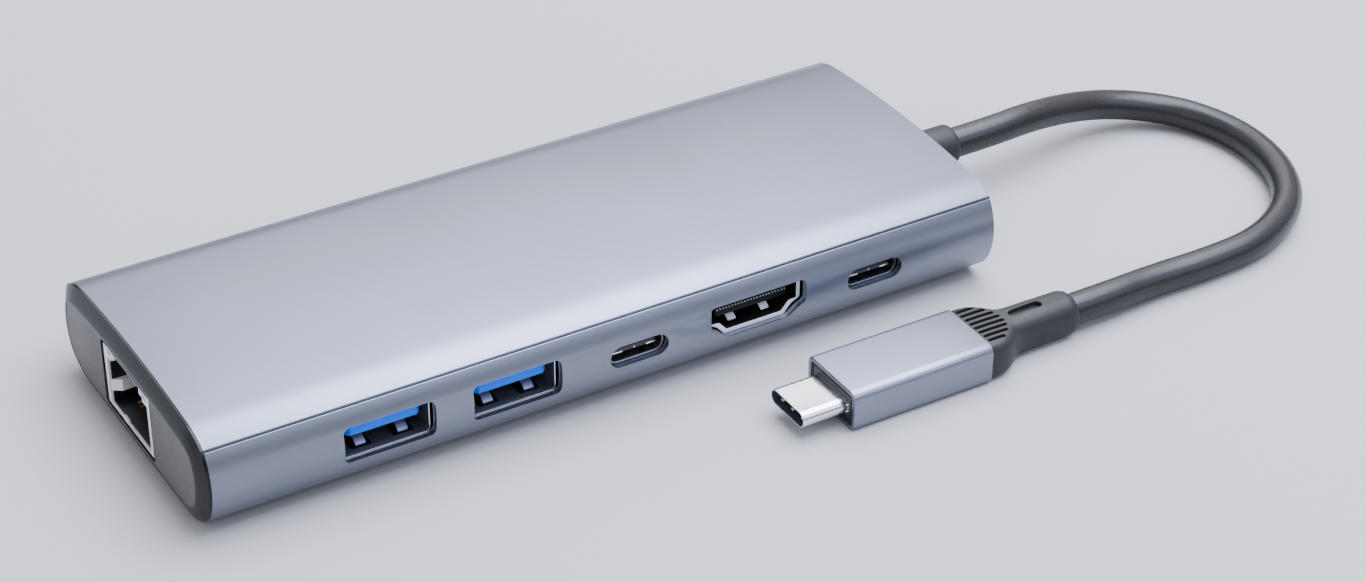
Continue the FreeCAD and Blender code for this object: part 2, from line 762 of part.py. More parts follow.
def makeVideoPort():
    rise = f"{MIDDLE} + portRise"
    shell = newBody("video_port_shell")
    place(shell, "videoPortX", "videoFrontY", rise)
    ring = newSketch(shell, "VideoRing", "XZ_Plane")
    videoOutline(ring, "videoShell", "0")
    videoOutline(ring, "videoShell", "videoShellWall")
    pad(shell, ring, "videoShellLength", reverse=True)
    addSprings(shell, "", "video", "videoLeafThick")

    tongue = newBody("video_port_tongue")
    place(tongue, "videoPortX", "videoFrontY", rise)
    rear = newSketch(tongue, "VideoBlock", "XZ_Plane", offset="-videoShellLength")
    videoOutline(rear, "videoShell", "videoShellWall")
    pad(tongue, rear, "videoBlockDepth")
    blade = newSketch(
        tongue, "VideoBlade", "XZ_Plane", offset="-videoTongueSet", up="videoTongueRise"
    )
    roundedRectangle(blade, "videoTongueWidth", "videoTongueThick", "videoTongueCorner")
    pad(tongue, blade, "videoShellLength - videoTongueSet - videoBlockDepth", reverse=True)

    contacts = []
    lengths = ("videoContactWidth", "videoContactLength", "videoContactThick")
    levels = ("videoTongueThick / 2", "-videoTongueThick / 2 - videoContactThick")
    for i in range(VIDEO_CONTACT_COUNT):
        shift = f"{i - (VIDEO_CONTACT_COUNT - 1) / 2} * videoContactPitch"
        corner = (
            f"videoPortX + {shift} - videoContactWidth / 2",
            "videoFrontY + videoTongueSet + videoContactSet",
            f"{rise} + videoTongueRise + {levels[i % 2]}",
        )
        contacts.append(block(f"video_contact_{i}", lengths, corner))
    group("video_port_contacts", contacts)


def makeNetworkJack():
    """A low jack with its latch notch uppermost, let into the end of the board."""
    inside = (
        "jackShieldWidth - 2 * jackShieldWall",
        "jackShieldHeight - 2 * jackShieldWall",
        "jackShieldCorner / 2",
    )
    shield = newBody("network_jack_shield")
    place(shield, "jackFrontX", "jackY", f"{MIDDLE} + jackRise")
    ring = newSketch(shield, "JackRing", "YZ_Plane")
    roundedRectangle(ring, "jackShieldWidth", "jackShieldHeight", "jackShieldCorner")
    roundedRectangle(ring, *inside)
    pad(shield, ring, "jackShieldLength")

    core = newBody("network_jack_body")
    place(core, "jackFrontX + jackBodySet", "jackY", f"{MIDDLE} + jackRise")
    solid = newSketch(core, "JackSolid", "YZ_Plane")
    roundedRectangle(solid, *inside)
    pad(core, solid, "jackShieldLength - jackBodySet")
    cavity = newSketch(core, "JackCavity", "YZ_Plane", offset="-cutMargin", up="-jackCavityDrop")
    mirroredPolygon(
        cavity,
        [
            ("jackLatchWidth / 2", "jackCavityHeight / 2 + jackLatchHeight"),
            ("jackLatchWidth / 2", "jackCavityHeight / 2"),
            ("jackCavityWidth / 2", "jackCavityHeight / 2"),
            ("jackCavityWidth / 2", "-jackCavityHeight / 2"),
        ],
    )
    pocket(core, cavity, "jackCavityDepth + cutMargin", reverse=True)

    contacts = []
    lengths = ("jackContactLength", "jackContactWidth", "jackContactThick")
    floor = f"{MIDDLE} + jackRise - jackCavityDrop - jackCavityHeight / 2"
    for i in range(JACK_CONTACT_COUNT):
        shift = f"{i - (JACK_CONTACT_COUNT - 1) / 2} * jackContactPitch"
        corner = (
            "jackFrontX + jackContactSet",
            f"jackY + {shift} - jackContactWidth / 2",
            f"{floor} + jackContactRise",
        )
        item = block(f"jack_contact_{i}", lengths, corner)
        item.Placement.Rotation = Rotation(Vector(0, 1, 0), -number("jackContactTilt"))
        contacts.append(item)
    group("network_jack_contacts", contacts)


def makeBoard():
    """The board, cut away round the jack, with the parts that stand on it."""
    board = newBody("main_circuit_board")
    place(board, x="boardMiddleX", z="boardTop - boardThick")
    plate = newSketch(board, "BoardPlate", "XY_Plane")
    roundedRectangle(plate, "boardLength", "boardWidth", "boardCorner")
    pad(board, plate, "boardThick")
    notch = newSketch(
        board, "JackNotch", "XY_Plane", offset="boardThick",
        right="-boardLength / 2", up="jackY",
    )
    reach = "jackFrontX + jackShieldLength + boardJackGap - boardMiddleX + boardLength / 2"
    width = "jackShieldWidth + 2 * boardJackGap"
    roundedRectangle(notch, f"2 * ({reach})", width, "boardNotchCorner")
    pocket(board, notch, "boardThick + cutMargin")

    for label, (length, width, height, x, y) in CHIPS.items():
        item = block(label, (length, width, height), (x - length / 2, y - width / 2, "boardTop"))
        keep(item, label)

    for label, (lengths, places) in CHIP_ROWS.items():
        pieces = []
        for i, (x, y) in enumerate(places):
            corner = (x - lengths[0] / 2, y - lengths[1] / 2, "boardTop")
            pieces.append(block(f"{label}_{i}", lengths, corner))
        group(label, pieces)


CABLE_ROUTE = [
    (70.25, 0.0, 8.0),
    (77.5, 0.0, 8.0),
    (85.3, 1.0, 7.7),
    (93.0, 2.4, 6.3),
    (100.6, 3.0, 4.6),
    (108.0, 0.9, 3.2),
    (113.7, -4.7, 2.6),
    (116.5, -13.9, 2.4),
    (114.9, -24.4, 2.4),
    (109.3, -32.9, 2.4),
    (99.5, -38.4, 2.4),
    (88.8, -39.2, 2.4),
    (78.6, -38.9, 2.5),
    (69.2, -39.9, 3.14),
    (63.0, -39.9, 3.14),
]


def roundedTube(points, radius):
    """A tube of straight runs joined by tangent arcs, its length and its bend radii."""
    edges = []
    radii = []
    start = points[0]
    for before, corner, after in zip(points, points[1:], points[2:]):
        into = corner - before
        out = after - corner
        turn = into.getAngle(out)
        trim = TRIM_SHARE * min(into.Length, out.Length)
        bend = trim / math.tan(turn / 2)
        first = corner - into.normalize() * trim
        last = corner + out.normalize() * trim
        inward = (first + last) / 2 - corner
        middle = corner + inward.normalize() * (bend / math.cos(turn / 2) - bend)
        edges.append(Part.LineSegment(start, first).toShape())
        edges.append(Part.Arc(first, middle, last).toShape())
        radii.append(bend)
        start = last
    edges.append(Part.LineSegment(start, points[-1]).toShape())
    path = Part.Wire(edges)
    section = Part.Wire(Part.makeCircle(radius, points[0], points[1] - points[0]))
    return path.makePipeShell([section], True, False), path.Length, radii


def makeCable():
    """The free stretch of the cable, from the hub's relief to the plug's."""
    radius = number("cableDiameter") / 2
    tube, length, radii = roundedTube([Vector(*p) for p in CABLE_ROUTE], radius)
    ratio = tube.Volume / (math.pi * radius**2 * length)
    print("cable bend radii", [round(r, 1) for r in radii])
    print("cable length", round(length, 1), "volume over section times length", round(ratio, 4))
    item = keep(doc.addObject("Part::Feature", "Cable"), "cable")
    item.Shape = tube


def makeCableEnds():
    """The held ends of the same cable, inside the hub's relief and inside the plug."""
    startX = CABLE_ROUTE[0][0]
    root = doc.addObject("Part::Cylinder", "CableRoot")
    bind(root, Radius="cableDiameter / 2", Height="cableRootLength")
    place(root, f"{startX} - cableRootLength", "0", MIDDLE)
    root.Placement.Rotation = Rotation(Vector(0, 1, 0), 90)
    keep(root, "cable_end_in_hub")

    tail = doc.addObject("Part::Cylinder", "CableTail")
    bind(tail, Radius="cableDiameter / 2", Height="cableTailLength")
    place(tail, f"{CABLE_ROUTE[-1][0]} - cableTailLength", "plugAxisY", "plugAxisZ")
    tail.Placement.Rotation = Rotation(Vector(0, 1, 0), 90)
    keep(tail, "cable_end_in_plug")

    # four cores leave the cut jacket, fan out and bend down to their solder pads
    wires = []
    radius = number("wireDiameter") / 2
    cutX = startX - number("cableRootLength")
    cutZ = number(MIDDLE)
    padZ = number("boardTop") + radius
    for i in range(WIRE_COUNT):
        y = (i - (WIRE_COUNT - 1) / 2) * number("wirePitch")
        points = [
            Vector(cutX, y, cutZ),
            Vector(cutX - 2.0, y, cutZ),
            Vector(cutX - 4.2, 1.6 * y, padZ),
            Vector(cutX - 7.0, 1.9 * y, padZ),
        ]
        wires.append(roundedTube(points, radius)[0])
    item = keep(doc.addObject("Part::Feature", "CableWires"), "cable_wires")
    item.Shape = Part.makeCompound(wires)


def makePlugShell():
    """The steel tube of the plug, its slotted plastic core and its contacts."""
    tipX = "sleeveStartX - plugShellProud"
    inside = ("plugShellWidth - 2 * plugShellWall", "plugShellHeight - 2 * plugShellWall")
    shell = newBody("plug_shell")
    place(shell, tipX, "plugAxisY", "plugAxisZ")
    ring = newSketch(shell, "PlugRing", "YZ_Plane")
    stadium(ring, "plugShellWidth", "plugShellHeight")
    stadium(ring, *inside)
    pad(shell, ring, "plugShellLength")

    core = newBody("plug_contact_block")
    place(core, tipX, "plugAxisY", "plugAxisZ")
    solid = newSketch(core, "PlugCore", "YZ_Plane", offset="plugCoreSet")
    stadium(solid, *inside)
    pad(core, solid, "plugShellLength - plugCoreSet")
    slot = newSketch(core, "TongueSlot", "YZ_Plane", offset="-cutMargin")
    roundedRectangle(slot, "plugSlotWidth", "plugSlotHeight", "slimTongueCorner")
    pocket(core, slot, "plugSlotDepth + cutMargin", reverse=True)

    contacts = []
    lengths = ("plugContactLength", "slimContactWidth", "slimContactThick")
    for i in range(SLIM_CONTACT_COUNT):
        shift = f"{i - (SLIM_CONTACT_COUNT - 1) / 2} * slimContactPitch"
        for j, way in enumerate((-1, 1)):
            corner = (
                f"{tipX} + plugContactSet",
                f"plugAxisY + {shift} - slimContactWidth / 2",
                f"plugAxisZ + {way} * plugContactRise - slimContactThick / 2",
            )
            contacts.append(block(f"plug_contact_{i}_{j}", lengths, corner))
    group("plug_contacts", contacts)


def makePlugGrip():
    """The aluminium sleeve, the plate that closes its front, and the board inside."""
    inner = (
        "sleeveWidth - 2 * sleeveWall", "sleeveHeight - 2 * sleeveWall", "sleeveInnerCorner"
    )
    sleeve = newBody("plug_sleeve")
    place(sleeve, "sleeveStartX", "plugAxisY", "plugAxisZ")
    ring = newSketch(sleeve, "SleeveRing", "YZ_Plane")
    roundedRectangle(ring, "sleeveWidth", "sleeveHeight", "sleeveCorner")
    roundedRectangle(ring, *inner)
    pad(sleeve, ring, "sleeveLength")

    insert = newBody("plug_front_insert")
    place(insert, "sleeveStartX + insertSet", "plugAxisY", "plugAxisZ")
    plate = newSketch(insert, "InsertPlate", "YZ_Plane")
    roundedRectangle(plate, *inner)
    stadium(plate, "plugShellWidth", "plugShellHeight")
    pad(insert, plate, "insertThick")

    board = block(
        "plug_circuit_board",
        ("plugBoardLength", "plugBoardWidth", "plugBoardThick"),
        ("sleeveStartX - plugShellProud + plugShellLength + plugBoardGap",
         "plugAxisY - plugBoardWidth / 2", "plugAxisZ - plugBoardThick / 2"),
    )
    keep(board, "plug_circuit_board")


def makeOvermould():
    """The moulded grip behind the sleeve: shoulders, a waist and a round neck."""
    mould = newBody("plug_overmould")
    place(mould, "sleeveStartX + sleeveLength", "plugAxisY", "plugAxisZ")
    neck = "mouldNeckDiameter"
    height = "sleeveHeight - 2 * mouldTopStep"
    neckStart = "mouldShoulderLength + mouldWaistLength"
    waistX = "mouldShoulderLength + mouldWaistLength * 0.45"
    stations = [
        ("0", "sleeveWidth - 2 * mouldSideStep", height, "sleeveCorner"),
        ("mouldShoulderLength", "sleeveWidth - 3 * mouldSideStep", height, "sleeveCorner + 0.3"),
        (waistX, f"{neck} + 1.5", neck, "2.4"),
        (neckStart, neck, neck, f"{neck} / 2 - {ROUND_SLACK}"),
    ]
    tenon = newSketch(mould, "MouldTenon", "YZ_Plane")
    roundedRectangle(
        tenon, "sleeveWidth - 2 * sleeveWall", "sleeveHeight - 2 * sleeveWall", "sleeveInnerCorner"
    )
    pad(mould, tenon, "mouldTenonLength", reverse=True)

    outlines = []
    for i, (x, width, height, corner) in enumerate(stations):
        outline = newSketch(mould, f"MouldStation{i}", "YZ_Plane", offset=x)
        roundedRectangle(outline, width, height, corner)
        outlines.append(outline)
    loftBetween(mould, "MouldShoulder", outlines)

    overlap = 0.3
    barrel = newSketch(mould, "MouldNeck", "YZ_Plane", offset=f"{neckStart} - {overlap}")
    circle(barrel, neck)
    pad(mould, barrel, f"mouldNeckLength + {overlap}")
    end = number(f"{neckStart} + mouldNeckLength")
    roundEdges(mould, "mouldNeckRounding", lambda p: abs(p.x - end) < NEAR)

    bore = newSketch(
        mould, "TailBore", "YZ_Plane", offset=f"{neckStart} + mouldNeckLength + cutMargin"
    )
    circle(bore, "cableDiameter")
    pocket(mould, bore, "cableTailLength + cutMargin")
    slot = newSketch(
        mould, "NeckSlot", "XY_Plane", offset=f"{neck} / 2 + cutMargin",
        right=f"{neckStart} + neckSlotPlace",
    )
    stadium(slot, "neckSlotLength", "neckSlotWidth")
    pocket(mould, slot, "neckSlotDepth + cutMargin")


doc.recompute()
makeHousing()
makeLeftCap()
makeRightCap()
makeHubRelief()
makeDataPort("left", "dataPortLeftX")
makeDataPort("right", "dataPortRightX")
makeSlimPort("left", "slimPortLeftX")
makeSlimPort("right", "slimPortRightX")
makeVideoPort()
makeNetworkJack()
makeBoard()
makeCable()
makeCableEnds()
makePlugShell()
makePlugGrip()
makeOvermould()
doc.recompute()

for item in doc.Objects:
    if {"Invalid", "Error"} & set(item.State):
        raise RuntimeError(f"{item.Label} failed: {item.State}")
for item in subParts:
    if item.Shape.isNull() or not item.Shape.isValid():
        raise RuntimeError(f"{item.Label} has no valid shape")

os.makedirs("parts", exist_ok=True)
for item in subParts:
    item.Shape.exportStep(f"parts/{item.Label}.step")
print(len(subParts), "sub-parts written")
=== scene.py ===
import math

import bmesh
import bpy
from mathutils import Matrix, Vector


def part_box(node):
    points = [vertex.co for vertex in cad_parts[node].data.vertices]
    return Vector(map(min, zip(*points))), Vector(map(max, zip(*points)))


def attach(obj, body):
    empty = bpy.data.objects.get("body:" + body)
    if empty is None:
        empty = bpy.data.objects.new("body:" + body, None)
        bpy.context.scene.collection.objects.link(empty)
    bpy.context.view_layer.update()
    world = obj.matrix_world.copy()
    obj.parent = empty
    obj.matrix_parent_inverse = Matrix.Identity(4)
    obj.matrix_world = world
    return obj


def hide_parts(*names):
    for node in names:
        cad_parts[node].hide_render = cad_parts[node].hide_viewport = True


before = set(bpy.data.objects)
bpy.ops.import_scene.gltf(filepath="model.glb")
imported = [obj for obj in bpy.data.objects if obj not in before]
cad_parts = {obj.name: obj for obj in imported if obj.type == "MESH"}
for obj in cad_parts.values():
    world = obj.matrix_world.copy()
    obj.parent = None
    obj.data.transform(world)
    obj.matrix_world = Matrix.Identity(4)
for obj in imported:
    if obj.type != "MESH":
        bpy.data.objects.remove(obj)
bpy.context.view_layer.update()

mm = 0.001
near = 0.01 * mm       # how far from an end the corners of that end may lie
lap = 0.1 * mm         # how far joined solids reach into each other
overrun = 0.5 * mm     # how far a bore's cutter passes both ends
facing = 0.9           # how closely a face has to look along an axis


cameraView = {
    "azimuth": -30.93,   # degrees round from straight in front, towards the network jack
    "elevation": 33.28,
    "roll": 0.28,
    "distance": 438.7 * mm,
    "target": (14.44 * mm, -14.98 * mm, 8.5 * mm),
    "lens": 82.9,
}

# name: (place, the point it faces, width, height, brightness, colour), all in metres
softboxes = {
    "topPanel": ((0.40, 0.04, 0.90), (0.40, 0, 0), 0.9, 1.10, 13.0, "#e4eaff"),
    "rearPanel": ((0.43, 0.75, 0.565), (0.43, 0, 0), 0.9, 0.42, 2.4, "#fafbff"),
    "frontPanel": ((0.40, -0.69, 0.58), (0.40, 0, 0), 0.9, 0.48, 2.5, "#bccbff"),
    "leftBox": ((-0.90, -0.30, 0.40), (0, 0, 0), 0.5, 0.4, 1.2, "#ffffff"),
}
studioGlow = {
    "colour": (0.98, 0.99, 1.03, 1),
    "heights": (0.12, 0.42),     # sine of the height above the horizon
    "strengths": (0.25, 1.10),
}


def hexColour(text):
    # sRGB hex to the linear values that shaders and lights take
    channels = [int(text[i:i + 2], 16) / 255 for i in (1, 3, 5)]
    return [c / 12.92 if c <= 0.04045 else ((c + 0.055) / 1.055) ** 2.4 for c in channels]


def rgba(colour):
    return (*hexColour(colour), 1)


def lookFrom(place, target, roll=0.0):
    # an object's matrix that looks from place to target along its own -Z
    back = (place - target).normalized()
    right = Vector((0, 0, 1)).cross(back).normalized()
    up = back.cross(right)
    turn = Matrix((right, up, back)).transposed().to_4x4()
    return Matrix.Translation(place) @ turn @ Matrix.Rotation(roll, 4, "Z")


def addCamera():
    azimuth = math.radians(cameraView["azimuth"])
    elevation = math.radians(cameraView["elevation"])
    back = Vector((
        math.sin(azimuth) * math.cos(elevation),
        -math.cos(azimuth) * math.cos(elevation),
        math.sin(elevation),
    ))
    target = Vector(cameraView["target"])
    camera = bpy.data.objects.new("camera", bpy.data.cameras.new("camera"))
    camera.data.lens = cameraView["lens"]
    camera.data.clip_start = 0.01
    camera.matrix_world = lookFrom(
        target + back * cameraView["distance"], target, math.radians(cameraView["roll"])
    )
    bpy.context.collection.objects.link(camera)
    bpy.context.scene.camera = camera


def addLights():
    for name, (place, aim, width, height, brightness, colour) in softboxes.items():
        lamp = bpy.data.lights.new(name, "AREA")
        lamp.shape = "RECTANGLE"
        lamp.size = width
        lamp.size_y = height
        lamp.energy = brightness * math.pi * width * height
        lamp.color = hexColour(colour)
        box = bpy.data.objects.new(name, lamp)
        box.matrix_world = lookFrom(Vector(place), Vector(aim))
        bpy.context.collection.objects.link(box)
    world = bpy.data.worlds.new("studio")
    world.use_nodes = True
    tree = world.node_tree
    sky = tree.nodes["Background"]
    sky.inputs["Color"].default_value = studioGlow["colour"]
    direction = addNode(tree, "TexCoord")
    axes = addNode(tree, "SeparateXYZ", {"Vector": (direction, "Generated")})
    low, high = studioGlow["heights"]
    dim, bright = studioGlow["strengths"]
    glow = addNode(
        tree, "MapRange",
        {"Value": (axes, "Z"), "From Min": low, "From Max": high, "To Min": dim, "To Max": bright},
        interpolation_type="SMOOTHSTEP",
    )
    tree.links.new(glow.outputs["Result"], sky.inputs["Strength"])
    bpy.context.scene.world = world


def setInputs(tree, node, inputs):
    # socket name or number -> a value, or (node, output) to link from
    for socket, value in inputs.items():
        if isinstance(value, tuple) and isinstance(value[0], bpy.types.Node):
            tree.links.new(value[0].outputs[value[1]], node.inputs[socket])
        else:
            node.inputs[socket].default_value = value


def addNode(tree, kind, inputs=None, **settings):
    node = tree.nodes.new("ShaderNode" + kind)
    for key, value in settings.items():
        setattr(node, key, value)
    setInputs(tree, node, inputs or {})
    return node


noiseSpan = {"From Min": 0.3, "From Max": 0.7}     # where nearly all of a noise's values lie


def newMaterial(name):
    material = bpy.data.materials.new(name)
    material.use_nodes = True
    tree = material.node_tree
    place = (addNode(tree, "TexCoord"), "Object")
    return material, tree, tree.nodes["Principled BSDF"], place


def makeBlastedAluminium():
    # 6063 aluminium, bead blasted and grey anodised: a fine even sparkle and a soft, broad shine
    material, tree, shader, place = newMaterial("blastedGreyAluminium")
    grit = addNode(tree, "TexNoise", {  # 0.1 mm bead marks, drawn coarser to show
        "Vector": place, "Scale": 1 / (0.25 * mm), "Detail": 1.0,
    })
    clouds = addNode(tree, "TexNoise", {  # slight unevenness of the anodic layer
        "Vector": place, "Scale": 1 / (18 * mm), "Detail": 2.0,
    })
    share = addNode(tree, "MapRange", {"Value": (clouds, "Fac"), **noiseSpan})
    tint = addNode(tree, "Mix", {
        "Factor": (share, "Result"), 6: rgba("#7e828f"), 7: rgba("#838795"),
    }, data_type="RGBA")
    rough = addNode(tree, "MapRange", {
        "Value": (grit, "Fac"), **noiseSpan, "To Min": 0.33, "To Max": 0.39,
    })
    lift = addNode(tree, "Bump", {
        "Height": (grit, "Fac"), "Strength": 0.35, "Distance": 0.006 * mm,
    })
    setInputs(tree, shader, {
        "Base Color": (tint, 2), "Metallic": 1.0, "Roughness": (rough, "Result"),
        "Normal": (lift, "Normal"),
    })
    return material


def makeMouldedPlastic(name, dark, light, roughness, grain=0.35, depth=0.012, ior=1.5):
    # plastic from a spark-eroded mould: a fine leathery grain and a quiet sheen
    material, tree, shader, place = newMaterial(name)
    skin = addNode(tree, "TexNoise", {"Vector": place, "Scale": 1 / (grain * mm), "Detail": 3.0})
    flow = addNode(tree, "TexNoise", {"Vector": place, "Scale": 1 / (9 * mm), "Detail": 2.0})
    share = addNode(tree, "MapRange", {"Value": (flow, "Fac"), **noiseSpan})
    tint = addNode(tree, "Mix", {
        "Factor": (share, "Result"), 6: rgba(dark), 7: rgba(light),
    }, data_type="RGBA")
    rough = addNode(tree, "MapRange", {
        "Value": (skin, "Fac"), **noiseSpan,
        "To Min": roughness - 0.05, "To Max": roughness + 0.06,
    })
    lift = addNode(tree, "Bump", {
        "Height": (skin, "Fac"), "Strength": 0.5, "Distance": depth * mm,
    })
    setInputs(tree, shader, {
        "Base Color": (tint, 2), "Roughness": (rough, "Result"), "IOR": ior,
        "Normal": (lift, "Normal"),
    })
    return material


def makePlatedSteel(name, colour, roughness, metallic):
    # nickel-plated stamped steel: bright, with faint rolling lines along the strip
    material, tree, shader, place = newMaterial(name)
    strip = addNode(tree, "Mapping", {"Vector": place, "Scale": (1, 0.12, 1)})
    lines = addNode(tree, "TexNoise", {
        "Vector": (strip, "Vector"), "Scale": 1 / (0.5 * mm), "Detail": 2.0,
    })
    rough = addNode(tree, "MapRange", {
        "Value": (lines, "Fac"), **noiseSpan,
        "To Min": roughness - 0.05, "To Max": roughness + 0.07,
    })
    lift = addNode(tree, "Bump", {
        "Height": (lines, "Fac"), "Strength": 0.3, "Distance": 0.004 * mm,
    })
    setInputs(tree, shader, {
        "Base Color": rgba(colour), "Metallic": metallic, "Roughness": (rough, "Result"),
        "Normal": (lift, "Normal"),
    })
    return material


def makeTinPlate():
    # matt tin on spring strip: a pale, soft grey that scatters as much light as it mirrors
    material, tree, shader, place = newMaterial("mattTinPlate")
    crystals = addNode(tree, "TexNoise", {
        "Vector": place, "Scale": 1 / (0.35 * mm), "Detail": 3.0,
    })
    tint = addNode(tree, "Mix", {
        "Factor": (crystals, "Fac"), 6: rgba("#f0f2f6"), 7: rgba("#fbfcff"),
    }, data_type="RGBA")
    lift = addNode(tree, "Bump", {
        "Height": (crystals, "Fac"), "Strength": 0.3, "Distance": 0.004 * mm,
    })
    setInputs(tree, shader, {
        "Base Color": (tint, 2), "Metallic": 0.3, "Roughness": 0.4, "Normal": (lift, "Normal"),
    })
    return material


def makeGoldPlate():
    # hard gold over nickel: warm and bright, with soft wear where plugs have wiped it
    material, tree, shader, place = newMaterial("wipedGoldPlate")
    wipe = addNode(tree, "Mapping", {"Vector": place, "Scale": (1, 0.3, 1)})
    wear = addNode(tree, "TexNoise", {
        "Vector": (wipe, "Vector"), "Scale": 1 / (0.6 * mm), "Detail": 3.0,
    })
    share = addNode(tree, "MapRange", {"Value": (wear, "Fac"), **noiseSpan})
    tint = addNode(tree, "Mix", {
        "Factor": (share, "Result"), 6: rgba("#e6bb62"), 7: rgba("#cfa24c"),
    }, data_type="RGBA")
    rough = addNode(tree, "MapRange", {"Value": (share, "Result"), "To Min": 0.18, "To Max": 0.32})
    setInputs(tree, shader, {
        "Base Color": (tint, 2), "Metallic": 1.0, "Roughness": (rough, "Result"),
    })
    return material


def makeBoardLaminate():
    # glass-epoxy board under black solder resist: glossy, with a faint weave beneath
    material, tree, shader, place = newMaterial("blackBoardLaminate")
    weave = addNode(tree, "TexChecker", {
        "Vector": place, "Scale": 1 / (0.9 * mm),
        "Color1": rgba("#101412"), "Color2": rgba("#161b18"),
    })
    lift = addNode(tree, "Bump", {
        "Height": (weave, "Fac"), "Strength": 0.2, "Distance": 0.004 * mm,
    })
    setInputs(tree, shader, {
        "Base Color": (weave, "Color"), "Roughness": 0.35, "Coat Weight": 0.3,
        "Coat Roughness": 0.2, "Normal": (lift, "Normal"),
    })
    return material


def makeFiredCeramic():
    # barium titanate chips: a warm tan, dull and slightly mottled
    material, tree, shader, place = newMaterial("firedTanCeramic")
    mottle = addNode(tree, "TexNoise", {"Vector": place, "Scale": 1 / (0.4 * mm), "Detail": 3.0})
    tint = addNode(tree, "Mix", {
        "Factor": (mottle, "Fac"), 6: rgba("#a4845c"), 7: rgba("#b6986f"),
    }, data_type="RGBA")
    setInputs(tree, shader, {"Base Color": (tint, 2), "Roughness": 0.55})
    return material


def makeStudioFloor():
    # matt pale paper sweep: nothing but a faint fibre
    material, tree, shader, place = newMaterial("palePaperSweep")
    fibre = addNode(tree, "TexNoise", {"Vector": place, "Scale": 1 / (1.2 * mm), "Detail": 4.0})
    lift = addNode(tree, "Bump", {
        "Height": (fibre, "Fac"), "Strength": 0.1, "Distance": 0.01 * mm,
    })
    setInputs(tree, shader, {
        "Base Color": rgba("#a6a6a6"), "Roughness": 0.95, "Normal": (lift, "Normal"),
    })
    return material


plastics = {
    # finish: (material, darkest and lightest tone, roughness, what differs from the usual mould)
    "capFace": ("satinDarkGreyAbs", "#4c4b4a", "#51504f", 0.42, {}),
    # the caps' rim finish: the gloss is real, but its much darker tone than the face is painted
    # shade
    "shadedGlossCap": (
        "polishedDarkGreyAbs", "#0d0d0d", "#101010", 0.2,
        {"grain": 0.6, "depth": 0.003, "ior": 1.34},
    ),
    "grip": ("softGreyElastomer", "#1d1d1c", "#222221", 0.46, {"ior": 1.38}),
    "jacket": (
        "extrudedGreyJacket", "#1a1919", "#1e1d1d", 0.31,
        {"grain": 0.5, "depth": 0.006, "ior": 1.42},
    ),
    "black": ("blackGlassNylon", "#0d0d0f", "#131316", 0.4, {}),
    "blue": (
        "brightBlueNylon", "#0070ff", "#0078ff", 0.6, {"grain": 0.4, "depth": 0.006, "ior": 1.15},
    ),
    "matBlack": ("matBlackNylon", "#0b0b0c", "#0e0e0f", 0.5, {"ior": 1.3}),
    "greyNylon": ("darkGreyNylon", "#2b2b2d", "#303032", 0.4, {}),
    "chip": ("blackChipResin", "#141415", "#1a1a1c", 0.6, {}),
    "ferrite": ("greyFerrite", "#2b2b2d", "#353537", 0.7, {}),
    "wire": ("redWireSleeve", "#8e1f1a", "#97261f", 0.4, {}),
}
steels = {
    # finish: (material, colour, roughness, how metallic)
    "nickel": ("brightNickelSteel", "#e6e6e8", 0.16, 1.0),
    # the darker steel for the ports' insides, spring roots and the plug shell's inner wall: its
    # dark tone is painted shade, its roughness is the steel's own
    "dullShadedSteel": ("dullNickelSteel", "#4a4f5c", 0.5, 0.6),
    "satinNickel": ("satinNickelSteel", "#a2a4a8", 0.3, 1.0),
    # spring steel with a blue cast: the blue is a painted reflection of the blue tongue
    "springSteel": ("stampedSpringSteel", "#9aa6d0", 0.4, 0.7),
}
finishes = {}


def makeFinishes():
    for finishName, (*settings, special) in plastics.items():
        finishes[finishName] = makeMouldedPlastic(*settings, **special)
    for finishName, settings in steels.items():
        finishes[finishName] = makePlatedSteel(*settings)
    finishes["aluminium"] = makeBlastedAluminium()
    finishes["tin"] = makeTinPlate()
    finishes["gold"] = makeGoldPlate()
    finishes["board"] = makeBoardLaminate()
    finishes["ceramic"] = makeFiredCeramic()


# outlines are lists of (across, up) points in metres, counter-clockwise


def arc(centre, radius, first, last, steps):
    # points on an arc between two angles in degrees, both ends included
    points = []
    for i in range(steps + 1):
        angle = math.radians(first + (last - first) * i / steps)
        points.append((centre[0] + radius * math.cos(angle), centre[1] + radius * math.sin(angle)))
    return points


def roundedRectangle(width, height, corner, steps=6):
    points = []
    for i, (sx, sy) in enumerate(((1, -1), (1, 1), (-1, 1), (-1, -1))):
        centre = (sx * (width / 2 - corner), sy * (height / 2 - corner))
        points += arc(centre, corner, 90 * i - 90, 90 * i, steps)
    return points


def stadium(width, height, steps=16):
    reach = width / 2 - height / 2
    right = arc((reach, 0), height / 2, -90, 90, steps)
    return right + arc((-reach, 0), height / 2, 90, 270, steps)


def mirrored(rightHalf, middle=(0, 0)):
    # a closed outline from its right half, listed from bottom to top
    right = [(middle[0] + a, middle[1] + b) for a, b in rightHalf]
    left = [(middle[0] - a, middle[1] + b) for a, b in reversed(rightHalf)]
    return right + left


def softened(points, radius, steps=4, share=0.45):
    # rounds each corner with an arc-like curve that takes at most a share of each side
    out = []
    count = len(points)
    for i in range(count):
        before, corner, after = (Vector(points[(i + k) % count]) for k in (-1, 0, 1))
        toBefore, toAfter = before - corner, after - corner
        trim = min(radius, share * toBefore.length, share * toAfter.length)
        start = corner + toBefore.normalized() * trim
        end = corner + toAfter.normalized() * trim
        for k in range(steps + 1):
            t = k / steps
            point = start * (1 - t) ** 2 + corner * 2 * t * (1 - t) + end * t ** 2
            out.append((point.x, point.y))
    return out


